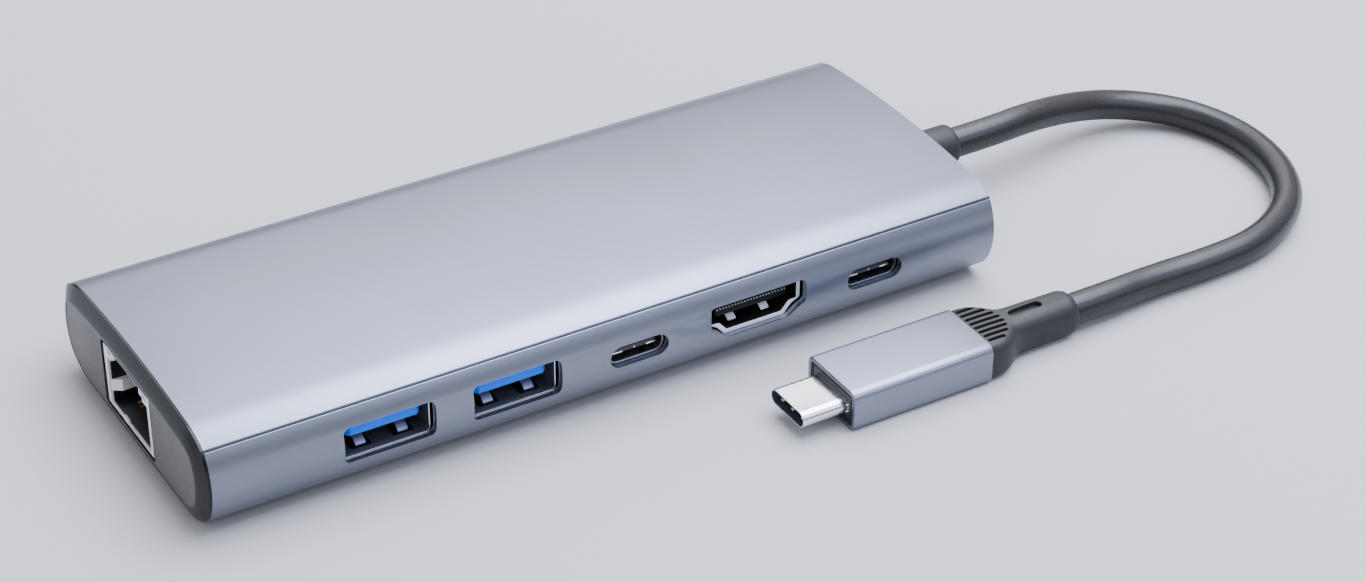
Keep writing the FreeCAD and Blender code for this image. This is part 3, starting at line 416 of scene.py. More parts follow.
hubMiddle = (0, 8.0 * mm)
hubSection = {
    "peak": 7.998 * mm,
    "crease": (22.8 * mm, 5.5 * mm),
    "creaseSlope": -0.708,
    "lowerCrease": (22.5 * mm, -5.5 * mm),
    "foot": (15.5 * mm, -8.0 * mm),
    "crownRadius": 190.6 * mm,
    "easeStart": 17.0 * mm,      # where the crown starts to bend towards the crease
    "sideRadius": 9.55 * mm,
    "undersideRadius": 11.05 * mm,
    "notchWidth": 0.36 * mm,
    "notchDepth": 0.5 * mm,
    "notchEdge": 0.05 * mm,
    "notchLip": 0.06 * mm,
    "notchLean": 1.6,
    # where each corner goes as the outline is drawn in, as shares of the inset
    "inward": {
        "ease": (-0.09, -0.996), "crease": (-0.75, -0.7), "lowerCrease": (-0.75, 0.7),
        "foot": (-0.1, 1.0),
    },
    "steps": {"underside": 12, "side": 28, "shoulder": 16, "crown": 14},
}


def throughArc(start, end, radius, steps):
    # the short arc from start to end with its centre on the left of the way it goes
    start, end = Vector(start), Vector(end)
    chord = end - start
    left = Vector((-chord.y, chord.x)).normalized()
    centre = (start + end) / 2 + left * math.sqrt(radius ** 2 - (chord.length / 2) ** 2)
    first = math.degrees(math.atan2(start.y - centre.y, start.x - centre.x))
    last = math.degrees(math.atan2(end.y - centre.y, end.x - centre.x))
    if last < first:
        last += 360
    return arc(centre, radius, first, last, steps)


def easedShoulder(crease, ease, slopes, steps):
    # a cubic from the crease up to the crown, so that the bend tightens little by little
    width = crease[0] - ease[0]
    points = []
    for i in range(steps + 1):
        t = 1 - i / steps
        rise = (
            (2 * t ** 3 - 3 * t ** 2 + 1) * ease[1] + (3 * t ** 2 - 2 * t ** 3) * crease[1]
            + width * ((t ** 3 - 2 * t ** 2 + t) * slopes[0] + (t ** 3 - t ** 2) * slopes[1])
        )
        points.append((ease[0] + width * t, rise))
    return points


def hubCorner(name, place, inset):
    across, up = hubSection["inward"][name]
    return (place[0] + across * inset, place[1] + up * inset)


def hubOutline(inset=0.0, notched=False):
    # the extrusion's cross-section, drawn in by inset; across is +Y and up is from mid-height
    radius, easeX, steps = hubSection["crownRadius"], hubSection["easeStart"], hubSection["steps"]
    peak = hubSection["peak"]
    easeZ = peak - radius + math.sqrt(radius ** 2 - easeX ** 2)
    ease = hubCorner("ease", (easeX, easeZ), inset)
    crease, lower, foot = (
        hubCorner(name, hubSection[name], inset) for name in ("crease", "lowerCrease", "foot")
    )
    under = throughArc(foot, lower, hubSection["undersideRadius"] - inset, steps["underside"])
    side = throughArc(lower, crease, hubSection["sideRadius"] - inset, steps["side"])
    slopes = (-easeX / radius, hubSection["creaseSlope"])
    shoulder = easedShoulder(crease, ease, slopes, steps["shoulder"])
    top = throughArc(ease, (0, peak - inset), radius - inset, steps["crown"])
    half = under + side[1:] + shoulder[1:] + top[1:-1]
    if notched:
        half = cutNotch(cutNotch(half, lower), crease)
    left = [(-a, b) for a, b in reversed(half)]
    return half + [(0, peak - inset)] + left


def cutNotch(points, corner):
    # swaps a crease point for a narrow slot that runs the length of the extrusion
    i = min(range(len(points)), key=lambda k: (Vector(points[k]) - Vector(corner)).length)
    here = Vector(points[i])
    before = (Vector(points[i - 1]) - here).normalized()
    after = (Vector(points[i + 1]) - here).normalized()
    half = hubSection["notchWidth"] / 2
    edge = half + hubSection["notchEdge"]
    inward = Vector((-here.x, -here.y * hubSection["notchLean"])).normalized()
    lip = inward * hubSection["notchLip"]
    bottom = here + inward * hubSection["notchDepth"]
    edges = [
        here + before * edge, here + before * half + lip, bottom + before * half,
        bottom + after * half, here + after * half + lip, here + after * edge,
    ]
    return points[:i] + [(p.x, p.y) for p in edges] + points[i + 1:]


videoShape = {
    "kneeRise": 2.05 * mm,
    "stepIn": 1.4 * mm,
    "hipRise": 1.4 * mm,
    "footShare": 0.7,      # how much of an inset each lower corner moves across
    "hipShare": 0.8,
}


def videoOutline(width, height, foot, inset=0.0, corner=0.25 * mm):
    hip = width / 2 - videoShape["stepIn"] - videoShape["hipShare"] * inset
    half = [
        (foot / 2 - videoShape["footShare"] * inset, inset - height / 2),
        (hip, inset - height / 2 + videoShape["hipRise"]),
        (width / 2 - inset, videoShape["kneeRise"] - height / 2),
        (width / 2 - inset, height / 2 - inset),
    ]
    return softened(mirrored(half), corner)


def deselectAll():
    if bpy.context.object and bpy.context.object.mode != "OBJECT":
        bpy.ops.object.mode_set(mode="OBJECT")
    bpy.ops.object.select_all(action="DESELECT")


def choose(piece):
    deselectAll()
    piece.select_set(True)
    bpy.context.view_layer.objects.active = piece


def inPlace(axis, across, up, along):
    # axis x: across is +Y; axis y: across is +X; axis z: across is +X and up is +Y
    if axis == "x":
        return Vector((along, across, up))
    if axis == "y":
        return Vector((across, along, up))
    return Vector((across, up, along))


def prism(name, outline, axis, start, end, middle=(0, 0)):
    # a circle primitive laid on the outline, filled, and extruded from start to end
    deselectAll()
    bpy.ops.mesh.primitive_circle_add(vertices=len(outline), radius=mm, fill_type="NGON")
    piece = bpy.context.object
    piece.name = name
    piece.data.name = name
    for vertex, (a, b) in zip(piece.data.vertices, outline):
        vertex.co = inPlace(axis, a + middle[0], b + middle[1], start)
    bpy.ops.object.mode_set(mode="EDIT")
    bpy.ops.mesh.select_all(action="SELECT")
    bpy.ops.mesh.extrude_region_move(
        TRANSFORM_OT_translate={"value": inPlace(axis, 0, 0, end - start)}
    )
    fixNormals()
    return piece


def loft(name, axis, stations, middle=(0, 0)):
    # a prism whose end face is extruded again to each (along, outline) and laid on that outline
    (start, first), *others = stations
    piece = prism(name, first, axis, start, others[0][0], middle)
    old = [inPlace(axis, a + middle[0], b + middle[1], others[0][0]) for a, b in first]
    choose(piece)
    bpy.ops.object.mode_set(mode="EDIT")
    bpy.ops.mesh.select_mode(type="FACE")
    way = inPlace(axis, 0, 0, 1 if others[0][0] > start else -1)
    selectFaces(piece, lambda f: f.normal.dot(way) > facing)
    for i, (along, outline) in enumerate(others):
        if i:
            bpy.ops.mesh.extrude_region_move(TRANSFORM_OT_translate={"value": (0, 0, 0)})
        new = [inPlace(axis, a + middle[0], b + middle[1], along) for a, b in outline]
        mesh = bmesh.from_edit_mesh(piece.data)
        face = next(f for f in mesh.faces if f.select)
        for vertex in face.verts:
            nearest = min(range(len(old)), key=lambda k: (old[k] - vertex.co).length)
            vertex.co = new[nearest]
        bmesh.update_edit_mesh(piece.data)
        old = new
    fixNormals()
    return piece


def paint(piece, finishName):
    piece.data.materials.append(finishes[finishName])
    return piece


def fixNormals():
    bpy.ops.mesh.select_all(action="SELECT")
    bpy.ops.mesh.normals_make_consistent(inside=False)
    bpy.ops.object.mode_set(mode="OBJECT")


def applyModifier(piece, kind, **settings):
    choose(piece)
    modifier = piece.modifiers.new(kind.lower(), kind)
    for key, value in settings.items():
        setattr(modifier, key, value)
    bpy.ops.object.modifier_apply(modifier=modifier.name)


def carve(piece, cutter, operation="DIFFERENCE"):
    applyModifier(piece, "BOOLEAN", operation=operation, solver="EXACT", object=cutter)
    bpy.data.objects.remove(cutter)
    return piece


def join(piece, *others):
    choose(piece)
    for other in others:
        other.select_set(True)
    bpy.ops.object.join()
    return piece


def bevelEdges(piece, width, test, segments=2, sharpest=35):
    # bevels the edges that turn more than sharpest degrees and pass the test
    choose(piece)
    bpy.ops.object.mode_set(mode="EDIT")
    bpy.ops.mesh.select_mode(type="EDGE")
    bpy.ops.mesh.select_all(action="DESELECT")
    mesh = bmesh.from_edit_mesh(piece.data)
    for edge in mesh.edges:
        sharp = len(edge.link_faces) == 2 and math.degrees(edge.calc_face_angle(0)) >= sharpest
        if sharp and all(test(v.co) for v in edge.verts):
            edge.select = True
    found = any(edge.select for edge in mesh.edges)
    bmesh.update_edit_mesh(piece.data)
    if found:
        bpy.ops.mesh.bevel(offset=width, segments=segments, profile=0.6, clamp_overlap=True)
    bpy.ops.object.mode_set(mode="OBJECT")


def finish(piece, nodes, finishName=None, angle=32):
    choose(piece)
    bpy.ops.object.shade_smooth_by_angle(angle=math.radians(angle))
    if finishName:
        paint(piece, finishName)
    if nodes:
        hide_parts(*nodes)
    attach(piece, "root")


def tube(name, outer, inner, axis, start, end, middle=(0, 0)):
    # a prism with a second one taken out of it from end to end
    piece = prism(name, outer, axis, start, end, middle)
    over = overrun if end > start else -overrun
    return carve(piece, prism("bore", inner, axis, start - over, end + over, middle))


def stud(sizes, name, axis, front, place, steps=3):
    # a small bar of rounded section; sizes hold its section and how far it reaches from front
    start, end = sizes[f"{name}Reach"]
    outline = roundedRectangle(*sizes[name], steps)
    return prism(name, outline, axis, front + start, front + end, place)


def centreOf(node):
    low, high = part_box(node)
    return (low + high) / 2


def endView(node, axis):
    # a node's box and, as seen along the axis, its middle, width and height
    low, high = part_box(node)
    across = 1 if axis == "x" else 0
    middle, size = (low + high) / 2, high - low
    return low, high, (middle[across], middle.z), size[across], size.z


housing = {
    "wall": 1.0 * mm,
    "dataWindow": (13.3 * mm, 5.5 * mm, 0.9 * mm),
    "slimWindow": (9.1 * mm, 3.35 * mm),
    "videoWindow": (15.5 * mm, 5.5 * mm, 10.1 * mm),
    "videoCorner": 0.8 * mm,
    "portLift": 0.1 * mm,
    "cut": (-27.0 * mm, -19.0 * mm),       # from in front of the wall to behind it
    "windowZone": (58.0 * mm, -23.2 * mm, 3.2 * mm),   # where the windows' outer edges lie
    "windowEdge": 0.16 * mm,
    "endEdge": 0.12 * mm,
}


def makeHousing():
    low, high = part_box("housing")
    shell = tube(
        "housingShell", hubOutline(notched=True), hubOutline(housing["wall"]), "x",
        low.x, high.x, hubMiddle,
    )
    data = roundedRectangle(*housing["dataWindow"], steps=8)
    slim = stadium(*housing["slimWindow"])
    video = videoOutline(*housing["videoWindow"], corner=housing["videoCorner"])
    lift = hubMiddle[1] + housing["portLift"]
    for name, outline in (
        ("data_port_left", data), ("data_port_right", data), ("slim_port_left", slim),
        ("slim_port_right", slim), ("video_port", video),
    ):
        place = (centreOf(f"{name}_shell").x, lift)
        carve(shell, prism("window", outline, "y", *housing["cut"], place))
    reach, front, rise = housing["windowZone"]
    bevelEdges(
        shell, housing["windowEdge"],
        lambda p: p.y < front and abs(p.x) < reach and abs(p.z - lift) < rise, segments=3,
    )
    bevelEdges(shell, housing["endEdge"], lambda p: abs(p.x) > high.x - near, sharpest=60)
    finish(shell, ["housing"], "aluminium", angle=28)
    print("housing done")


leftCap = {
    # (how far in from the outline, how far out from the housing's end), millimetres
    "profile": (
        (0.14, 0.0), (0.14, 0.05), (0.0, 0.08), (0.0, 0.36), (0.05, 0.44), (0.16, 0.50),
        (0.85, 0.80), (0.95, 0.86), (1.9, 1.26), (2.1, 1.33), (2.3, 1.36), (2.4, 1.36),
        (2.45, 1.31), (2.6, 1.30),
    ),
    "faceDepth": 1.285 * mm,
    "faceLevel": 0.995,      # how squarely the painted face looks along the axis
    "window": (16.6 * mm, 10.3 * mm, 0.6 * mm),
    "windowZone": (1.0 * mm, 8.4 * mm),    # out from the housing, and across from the jack
    "windowEdge": 0.15 * mm,
    "collarGap": 1.05 * mm,
    "collarWall": 1.2 * mm,
    "collarDepth": 3.2 * mm,
    "collarLap": 0.05 * mm,
}


def makeLeftCap():
    low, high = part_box("left_end_cap")
    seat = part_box("housing")[0].x
    stations = [(seat - out * mm, hubOutline(inset * mm)) for inset, out in leftCap["profile"]]
    cap = loft("leftEndCap", "x", stations, hubMiddle)
    centre = centreOf("network_jack_shield")
    hole = roundedRectangle(*leftCap["window"], 5)
    carve(cap, prism("hole", hole, "x", low.x - 2 * mm, high.x + 2 * mm, (centre.y, centre.z)))
    out, across = leftCap["windowZone"]
    bevelEdges(
        cap, leftCap["windowEdge"],
        lambda p: p.x < seat - out and abs(p.y - centre.y) < across, sharpest=60,
    )
    gap, wall = leftCap["collarGap"], leftCap["collarWall"]
    collar = tube(
        "collar", hubOutline(gap), hubOutline(gap + wall), "x",
        seat - leftCap["collarLap"], seat + leftCap["collarDepth"], hubMiddle,
    )
    join(cap, collar)
    faceX = seat - leftCap["faceDepth"]
    level = leftCap["faceLevel"]
    # all but the flat face take the dark gloss rim finish, whose darker tone is painted shade
    paintWhere(cap, "shadedGlossCap", "capFace", lambda f: f.normal.x < -level and f.center.x < faceX)
    finish(cap, ["left_end_cap"], angle=24)
    print("left cap done")


def selectFaces(piece, test):
    # in edit mode: leaves only the faces that pass the test selected
    bpy.ops.mesh.select_all(action="DESELECT")
    mesh = bmesh.from_edit_mesh(piece.data)
    mesh.normal_update()
    for face in mesh.faces:
        if test(face):
            face.select = True
    bmesh.update_edit_mesh(piece.data)


rightCap = {
    "plugInset": 1.1 * mm,
    "lipInset": 0.35 * mm,
    "lipEdge": 0.12 * mm,
    "bore": (6.4 * mm, 6.4 * mm, 3.199 * mm),
}


def makeRightCap():
    low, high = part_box("right_end_cap")
    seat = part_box("housing")[1].x
    cap = prism("rightEndCap", hubOutline(rightCap["plugInset"]), "x", low.x, seat, hubMiddle)
    lip = prism("lip", hubOutline(rightCap["lipInset"]), "x", seat, high.x, hubMiddle)
    bevelEdges(lip, rightCap["lipEdge"], lambda p: p.x > high.x - near)
    carve(cap, lip, operation="UNION")
    relief = centreOf("hub_strain_relief")
    bore = roundedRectangle(*rightCap["bore"], 12)
    carve(cap, prism("bore", bore, "x", low.x - mm, high.x + mm, (relief.y, relief.z)))
    # the whole right cap takes the dark gloss rim finish, whose darker tone is painted shade
    finish(cap, ["right_end_cap"], "shadedGlossCap")
    print("right cap done")


def paintWhere(piece, usual, other, test):
    # two finishes: the faces that pass the test take the other one
    paint(paint(piece, usual), other)
    for polygon in piece.data.polygons:
        polygon.material_index = 1 if test(polygon) else 0


floorSpring = {
    "thick": 0.25 * mm,
    "edge": 0.1 * mm,
    "slotTop": 1.2 * mm,     # above the shell's underside
}


def makePortShell(name, node, outer, inner, sizes):
    # a front port's shell with slots and bent springs in its floor
    low, high, middle = endView(node, "y")[:3]
    inside, rim, crown = sizes["finishes"]
    shell = tube(name, outer, inner, "y", low.y, high.y, middle)
    slotWidth, slotLength, corner = sizes["slot"]
    slot = roundedRectangle(slotWidth, slotLength, corner, 3)
    front, floor = low.y + sizes["slotFront"], low.z + sizes["wall"]
    places = [middle[0] + way * sizes["pitch"] / 2 for way in (-1, 1)]
    for x in places:
        place = (x, front + slotLength / 2)
        carve(shell, prism("slot", slot, "z", low.z - mm, low.z + floorSpring["slotTop"], place))
    bevelEdges(shell, sizes["rimEdge"], lambda p: p.y < low.y + near)
    rimEnd = low.y + sizes["rimDepth"]
    # the shell's inside, behind the thin rim, takes a darker finish: painted shade in the recess
    paintWhere(shell, inside, rim, lambda f: f.center.y < rimEnd)
    points = [(front + back * mm, floor + rise * mm) for back, rise in sizes["leaf"]]
    outline = points + [(a, b - floorSpring["thick"]) for a, b in reversed(points)]
    crownEnd = points[-1][0] + sizes["crownLength"]
    half = sizes["leafWidth"] / 2
    for x in places:
        leaf = prism("leaf", outline, "x", x - half, x + half)
        bevelEdges(leaf, floorSpring["edge"], lambda p: True, sharpest=50)
        # the leaf's root, back in the slot, takes the darker steel as painted shade; the tip keeps
        # its own finish
        paintWhere(leaf, crown, "dullShadedSteel", lambda f: f.center.y > crownEnd)
        join(shell, leaf)
    return shell


def makeBlade(sizes, middleX, front, back, under, top):
    # a flat tongue whose front corners are cut off
    half, chamfer = sizes["tongueHalf"], sizes["tongueChamfer"]
    plan = mirrored([
        (half - chamfer, front), (half, front + chamfer), (half, back),
    ], (middleX, 0))
    return prism("blade", plan, "z", under, top)


dataPort = {
    # the inside's darker steel is painted shade, and the tips' blue cast is a painted reflection
    # of the blue tongue
    "finishes": ("dullShadedSteel", "nickel", "springSteel"),     # inside, rim, the springs' tips
    "corner": 0.8 * mm,
    "wall": 0.3 * mm,
    "rimEdge": 0.1 * mm,
    "rimDepth": 0.12 * mm,
    "slot": (3.0 * mm, 6.0 * mm, 0.3 * mm),
    "slotFront": 1.15 * mm,
    "pitch": 6.2 * mm,
    # the floor springs from root to tip: millimetres back from the slot's front and up
    "leaf": ((6.3, -0.02), (5.2, 0.1), (2.3, 1.0), (1.7, 1.05), (1.0, 0.85), (0.3, 0.3)),
    "leafWidth": 1.55 * mm,
    "crownLength": 2.1 * mm,
    # the side springs: millimetres back from the shell's front and in from the wall
    "sideSpring": ((1.6, 0.0), (3.0, 0.55), (4.2, 0.55), (6.0, 0.0)),
    "sideSpringRise": (-1.9 * mm, -0.6 * mm),
    "tongueHalf": 5.4 * mm,
    "tongueThick": 1.84 * mm,
    "tongueChamfer": 0.55 * mm,
    "tongueEdge": 0.16 * mm,
    "contactThick": 0.15 * mm,
    "blockDepth": 4.0 * mm,
}


def makeDataPort(side):
    name = f"data_port_{side}"
    title = f"dataPort{side.title()}"
    low, high, middle, width, height = endView(f"{name}_shell", "y")
    wall = dataPort["wall"]
    outer = roundedRectangle(width, height, dataPort["corner"])
    inner = roundedRectangle(width - 2 * wall, height - 2 * wall, dataPort["corner"] - wall)
    shell = makePortShell(f"{title}Shell", f"{name}_shell", outer, inner, dataPort)
    bottom, top = dataPort["sideSpringRise"]
    for way in (-1, 1):
        wallX = middle[0] + way * (width / 2 - wall)
        outline = [
            (wallX - way * into * mm, low.y + back * mm) for back, into in dataPort["sideSpring"]
        ]
        spring = prism("sideSpring", outline, "z", middle[1] + bottom, middle[1] + top)
        # the side springs inside the port take the darker steel as painted shade
        join(shell, paint(spring, "dullShadedSteel"))
    finish(shell, [f"{name}_shell"])

    low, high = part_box(f"{name}_tongue")
    depth = dataPort["blockDepth"]
    block = prism(f"{title}Tongue", inner, "y", high.y - depth, high.y, middle)
    # the back block is painted black as painted shade behind the tongue; the insulator itself is
    # blue
    paint(block, "black")
    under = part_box(f"{name}_contacts")[0].z + dataPort["contactThick"]
    tongue = makeBlade(
        dataPort, middle[0], low.y, high.y - depth + lap, under, under + dataPort["tongueThick"]
    )
    # the tongue's downward faces are painted black as painted shade under it
    paintWhere(tongue, "blue", "black", lambda f: f.normal.z < -facing)
    chamferEnd = low.y + dataPort["tongueChamfer"] + near
    bevelEdges(tongue, dataPort["tongueEdge"], lambda p: p.y < chamferEnd, sharpest=60)
    join(block, tongue)
    finish(block, [f"{name}_tongue"])
    print(title, "done")


slimPort = {
    "height": 3.16 * mm,
    "wall": 0.3 * mm,
    "rimEdge": 0.09 * mm,
    "leg": (1.1 * mm, 1.2 * mm, 0.2 * mm),
    "legInset": 1.9 * mm,
    "blockDepth": 2.2 * mm,
    "tongue": (6.69 * mm, 0.7 * mm),
    "tongueCorner": 0.35 * mm,
    "tongueEdge": 0.12 * mm,
    "tongueFront": 0.4 * mm,
    "step": (7.19 * mm, 1.4 * mm, 0.3 * mm),
    "stepBack": 3.6 * mm,
    "latch": (1.5 * mm, 0.2 * mm, 0.1 * mm),
    "latchPitch": 5.2 * mm,
    "latchDrop": 0.22 * mm,
    "latchReach": (-0.04 * mm, 1.2 * mm),    # from just proud of the tongue's tip
    "dot": (0.3 * mm, 0.16 * mm, 0.07 * mm),
    "dotDrop": 0.1 * mm,
    "dotReach": (-0.03 * mm, 0.5 * mm),
}


def makeSlimPort(side):
    name = f"slim_port_{side}"
    title = f"slimPort{side.title()}"
    low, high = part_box(f"{name}_shell")
    height, wall = slimPort["height"], slimPort["wall"]
    centreZ = high.z - height / 2
    middle = ((low.x + high.x) / 2, centreZ)
    width = high.x - low.x
    inner = stadium(width - 2 * wall, height - 2 * wall)
    shell = tube(f"{title}Shell", stadium(width, height), inner, "y", low.y, high.y, middle)
    paint(shell, "satinNickel")
    bevelEdges(shell, slimPort["rimEdge"], lambda p: p.y < low.y + near)
    depth = slimPort["blockDepth"]
    foot = roundedRectangle(*slimPort["leg"], 3)
    top = centreZ - height / 2 + lap
    for way in (-1, 1):
        place = (middle[0] + way * (width / 2 - slimPort["legInset"]), high.y - depth)
        join(shell, prism("leg", foot, "z", low.z, top, place))
    finish(shell, [f"{name}_shell"])

    low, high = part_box(f"{name}_tongue")
    core = prism(f"{title}Tongue", inner, "y", high.y - depth, high.y, middle)
    bladeWidth, bladeThick = slimPort["tongue"]
    back = high.y - depth + lap
    plan = softened(mirrored([
        (bladeWidth / 2, low.y), (bladeWidth / 2, back),
    ], (middle[0], 0)), slimPort["tongueCorner"])
    blade = prism("blade", plan, "z", centreZ - bladeThick / 2, centreZ + bladeThick / 2)
    frontZone = slimPort["tongueFront"]
    bevelEdges(blade, slimPort["tongueEdge"], lambda p: p.y < low.y + frontZone, sharpest=60)
    step = prism(
        "step", roundedRectangle(*slimPort["step"], 3), "y", low.y + slimPort["stepBack"], back,
        middle,
    )
    join(core, blade, step)
    finish(core, [f"{name}_tongue"], "greyNylon")

    latches = []
    for way in (-1, 1):
        place = (middle[0] + way * slimPort["latchPitch"] / 2, centreZ - slimPort["latchDrop"])
        latches.append(stud(slimPort, "latch", "y", low.y, place))
    dot = stud(slimPort, "dot", "y", low.y, (middle[0], centreZ - slimPort["dotDrop"]))
    plates = join(*latches, dot)
    plates.name = f"{title}Latches"
    finish(plates, [], "nickel")
    print(title, "done")


videoPort = {
    # inside, rim, the springs' tips; the steel shell's matt black inside is painted shade
    "finishes": ("matBlack", "tin", "tin"),
    "wall": 0.58 * mm,
    "foot": 9.7 * mm,
    "rimEdge": 0.12 * mm,
    "rimDepth": 0.3 * mm,
    "slot": (2.6 * mm, 5.0 * mm, 0.2 * mm),
    "slotFront": 1.0 * mm,
    "pitch": 5.4 * mm,
    "leaf": ((5.2, -0.02), (4.2, 0.1), (1.8, 0.8), (1.3, 0.85), (0.5, 0.35)),
    "leafWidth": 1.35 * mm,
    "crownLength": 1.5 * mm,
    "blockDepth": 3.0 * mm,
    "tongueRise": 0.35 * mm,
    "tongueHalf": 5.95 * mm,
    "tongueThick": 1.2 * mm,
    "tongueChamfer": 0.3 * mm,
    "tongueEdge": 0.12 * mm,
    "tongueFront": 0.35 * mm,    # how far back the tip's edges are rounded
    "teeth": 23,
    "toothPitch": 0.5 * mm,
    "tooth": (0.24 * mm, 0.3 * mm, 0.05 * mm),
    "toothRise": 0.51 * mm,
    "toothReach": (-0.03 * mm, 2.2 * mm),
}


def makeVideoPort():
    low, high, middle, width, height = endView("video_port_shell", "y")
    outer = videoOutline(width, height, videoPort["foot"])
    inner = videoOutline(width, height, videoPort["foot"], videoPort["wall"])
    shell = makePortShell("videoPortShell", "video_port_shell", outer, inner, videoPort)
    finish(shell, ["video_port_shell"])

    low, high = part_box("video_port_tongue")
    depth = videoPort["blockDepth"]
    core = prism("videoPortTongue", inner, "y", high.y - depth, high.y, middle)
    bladeZ = middle[1] + videoPort["tongueRise"]
    half = videoPort["tongueThick"] / 2
    blade = makeBlade(
        videoPort, middle[0], low.y, high.y - depth + lap, bladeZ - half, bladeZ + half
    )
    frontZone = videoPort["tongueFront"]
    bevelEdges(blade, videoPort["tongueEdge"], lambda p: p.y < low.y + frontZone, sharpest=60)
    join(core, blade)
    paint(core, "matBlack")
    count = videoPort["teeth"]
    teeth = []
    for i in range(count):
        across = (i - (count - 1) // 2) * videoPort["toothPitch"]
        place = (middle[0] + across, bladeZ + videoPort["toothRise"])
        teeth.append(stud(videoPort, "tooth", "y", low.y, place, 1))
    join(core, paint(join(*teeth), "satinNickel"))
    finish(core, ["video_port_tongue"])
    print("video port done")


jack = {
    "wall": 0.25 * mm,
    "corner": 0.4 * mm,
    "innerCorner": 0.2 * mm,
    "frameThick": 0.35 * mm,
    "frameEdge": 0.07 * mm,
    "sideBar": 1.15 * mm,
    "bottomBar": 0.4 * mm,
    # the stepped latch notch, millimetres in from the side and down from the top
    "steps": ((0.0, 2.0), (1.5, 2.0), (1.5, 1.35), (2.5, 1.35), (2.5, 0.35)),
    "stepCorner": 0.15 * mm,
    "lightHole": (1.5 * mm, 0.75 * mm, 0.1 * mm),
    "lightHoleIn": 1.0 * mm,
    "lightHoleDown": 0.95 * mm,
    "tab": (1.6 * mm, 0.7 * mm, 0.15 * mm),
    "tabPlace": (1.8 * mm, 0.15 * mm),
    "tabReach": (-0.02 * mm, 0.3 * mm),
    # the side springs, millimetres back from the frame and in from the opening's side
    "spring": ((0.05, 0.0), (1.5, 0.95), (5.2, 0.8), (6.5, 0.0), (6.5, -0.2), (0.05, -0.2)),
    "springGap": 0.1 * mm,
    "springRise": (-2.7 * mm, -0.9 * mm),
    # the same notch in the body behind the frame
    "bodySteps": ((0.0, 2.0), (1.5, 2.0), (1.5, 1.35), (2.6, 1.35), (2.6, 0.5)),
    "bodyGap": 0.05 * mm,
    "bodyFloor": 0.2 * mm,
    "bodySet": 0.1 * mm,
    "bodyEdge": 0.1 * mm,
    "bodyFront": 0.2 * mm,
    "cavityDepth": 12.5 * mm,
}


def jackOpening(side, base, top, steps, middle):
    # the opening's outline from its bottom corner up through the latch notch's steps
    notch = [(side - into * mm, top - down * mm) for into, down in steps]
    return mirrored([(side, base), *notch], middle)


def makeNetworkJack():
    low, high, middle, width, height = endView("network_jack_shield", "x")
    wall = jack["wall"]
    outer = roundedRectangle(width, height, jack["corner"], 4)
    inner = (width - 2 * wall, height - 2 * wall, jack["innerCorner"])
    shield = tube(
        "networkJackShield", outer, roundedRectangle(*inner, 4), "x", low.x, high.x, middle
    )
    face = prism("frame", outer, "x", low.x, low.x + jack["frameThick"], middle)
    side = width / 2 - jack["sideBar"]
    base = -height / 2 + jack["bottomBar"]
    top = height / 2
    opening = softened(
        jackOpening(side, base, top, jack["steps"], middle), jack["stepCorner"], 2
    )
    carve(face, prism("opening", opening, "x", low.x - mm, low.x + mm))
    hole = roundedRectangle(*jack["lightHole"], 2)
    rise = middle[1] + top - jack["lightHoleDown"]
    for way in (-1, 1):
        place = (middle[0] + way * (side - jack["lightHoleIn"]), rise)
        carve(face, prism("lightHole", hole, "x", low.x - mm, low.x + mm, place))
    across, rise = jack["tabPlace"]
    tab = stud(jack, "tab", "x", low.x, (middle[0] + across, middle[1] + base + rise))
    bevelEdges(face, jack["frameEdge"], lambda p: p.x < low.x + near, sharpest=60)
    join(shield, face, tab)
    bottom, crest = jack["springRise"]
    for way in (-1, 1):
        y = middle[0] + way * (side + jack["springGap"])
        outline = [(low.x + back * mm, y - way * into * mm) for back, into in jack["spring"]]
        join(shield, prism("spring", outline, "z", middle[1] + bottom, middle[1] + crest))
    finish(shield, ["network_jack_shield"], "tin")

    low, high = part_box("network_jack_body")
    core = prism(
        "networkJackBody", roundedRectangle(*inner, 3), "x", low.x + jack["bodySet"], high.x,
        middle,
    )
    cavity = jackOpening(
        side - jack["bodyGap"], base + jack["bodyFloor"], top, jack["bodySteps"], middle
    )
    carve(core, prism("cavity", cavity, "x", low.x - mm, low.x + jack["cavityDepth"]))
    bevelEdges(
        core, jack["bodyEdge"], lambda p: p.x < low.x + jack["bodyFront"], segments=1,
        sharpest=60,
    )
    finish(core, ["network_jack_body"], "black")
    print("network jack done")


cable = {
    "diameter": 4.7 * mm,
    "length": 0.1238,
    "route": (
        (70.25, 0.0, 8.0), (77.5, 0.0, 8.0), (85.3, 1.0, 7.7), (93.0, 2.4, 6.3),
        (100.6, 3.0, 4.6), (108.0, 0.9, 3.2), (113.7, -4.7, 2.6), (116.5, -13.9, 2.4),
        (114.9, -24.4, 2.4), (109.3, -32.9, 2.4), (99.5, -38.4, 2.4), (88.8, -39.2, 2.4),
        (78.6, -38.9, 2.5), (69.2, -39.9, 3.14), (63.0, -39.9, 3.14),
    ),
}


def makeCable():
    curve = bpy.data.curves.new("captiveCable", "CURVE")
    curve.dimensions = "3D"
    curve.resolution_u = 16
    curve.bevel_depth = cable["diameter"] / 2
    curve.bevel_resolution = 10
    curve.use_fill_caps = True
    spline = curve.splines.new("NURBS")
    spline.points.add(len(cable["route"]) - 1)
    for point, (x, y, z) in zip(spline.points, cable["route"]):
        point.co = (x * mm, y * mm, z * mm, 1)
    spline.order_u = 3
    spline.use_endpoint_u = True
    spline.resolution_u = 16
    piece = bpy.data.objects.new("captiveCable", curve)
    bpy.context.collection.objects.link(piece)
    curve.materials.append(finishes["jacket"])
    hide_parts("cable")
    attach(piece, "root")
    return piece


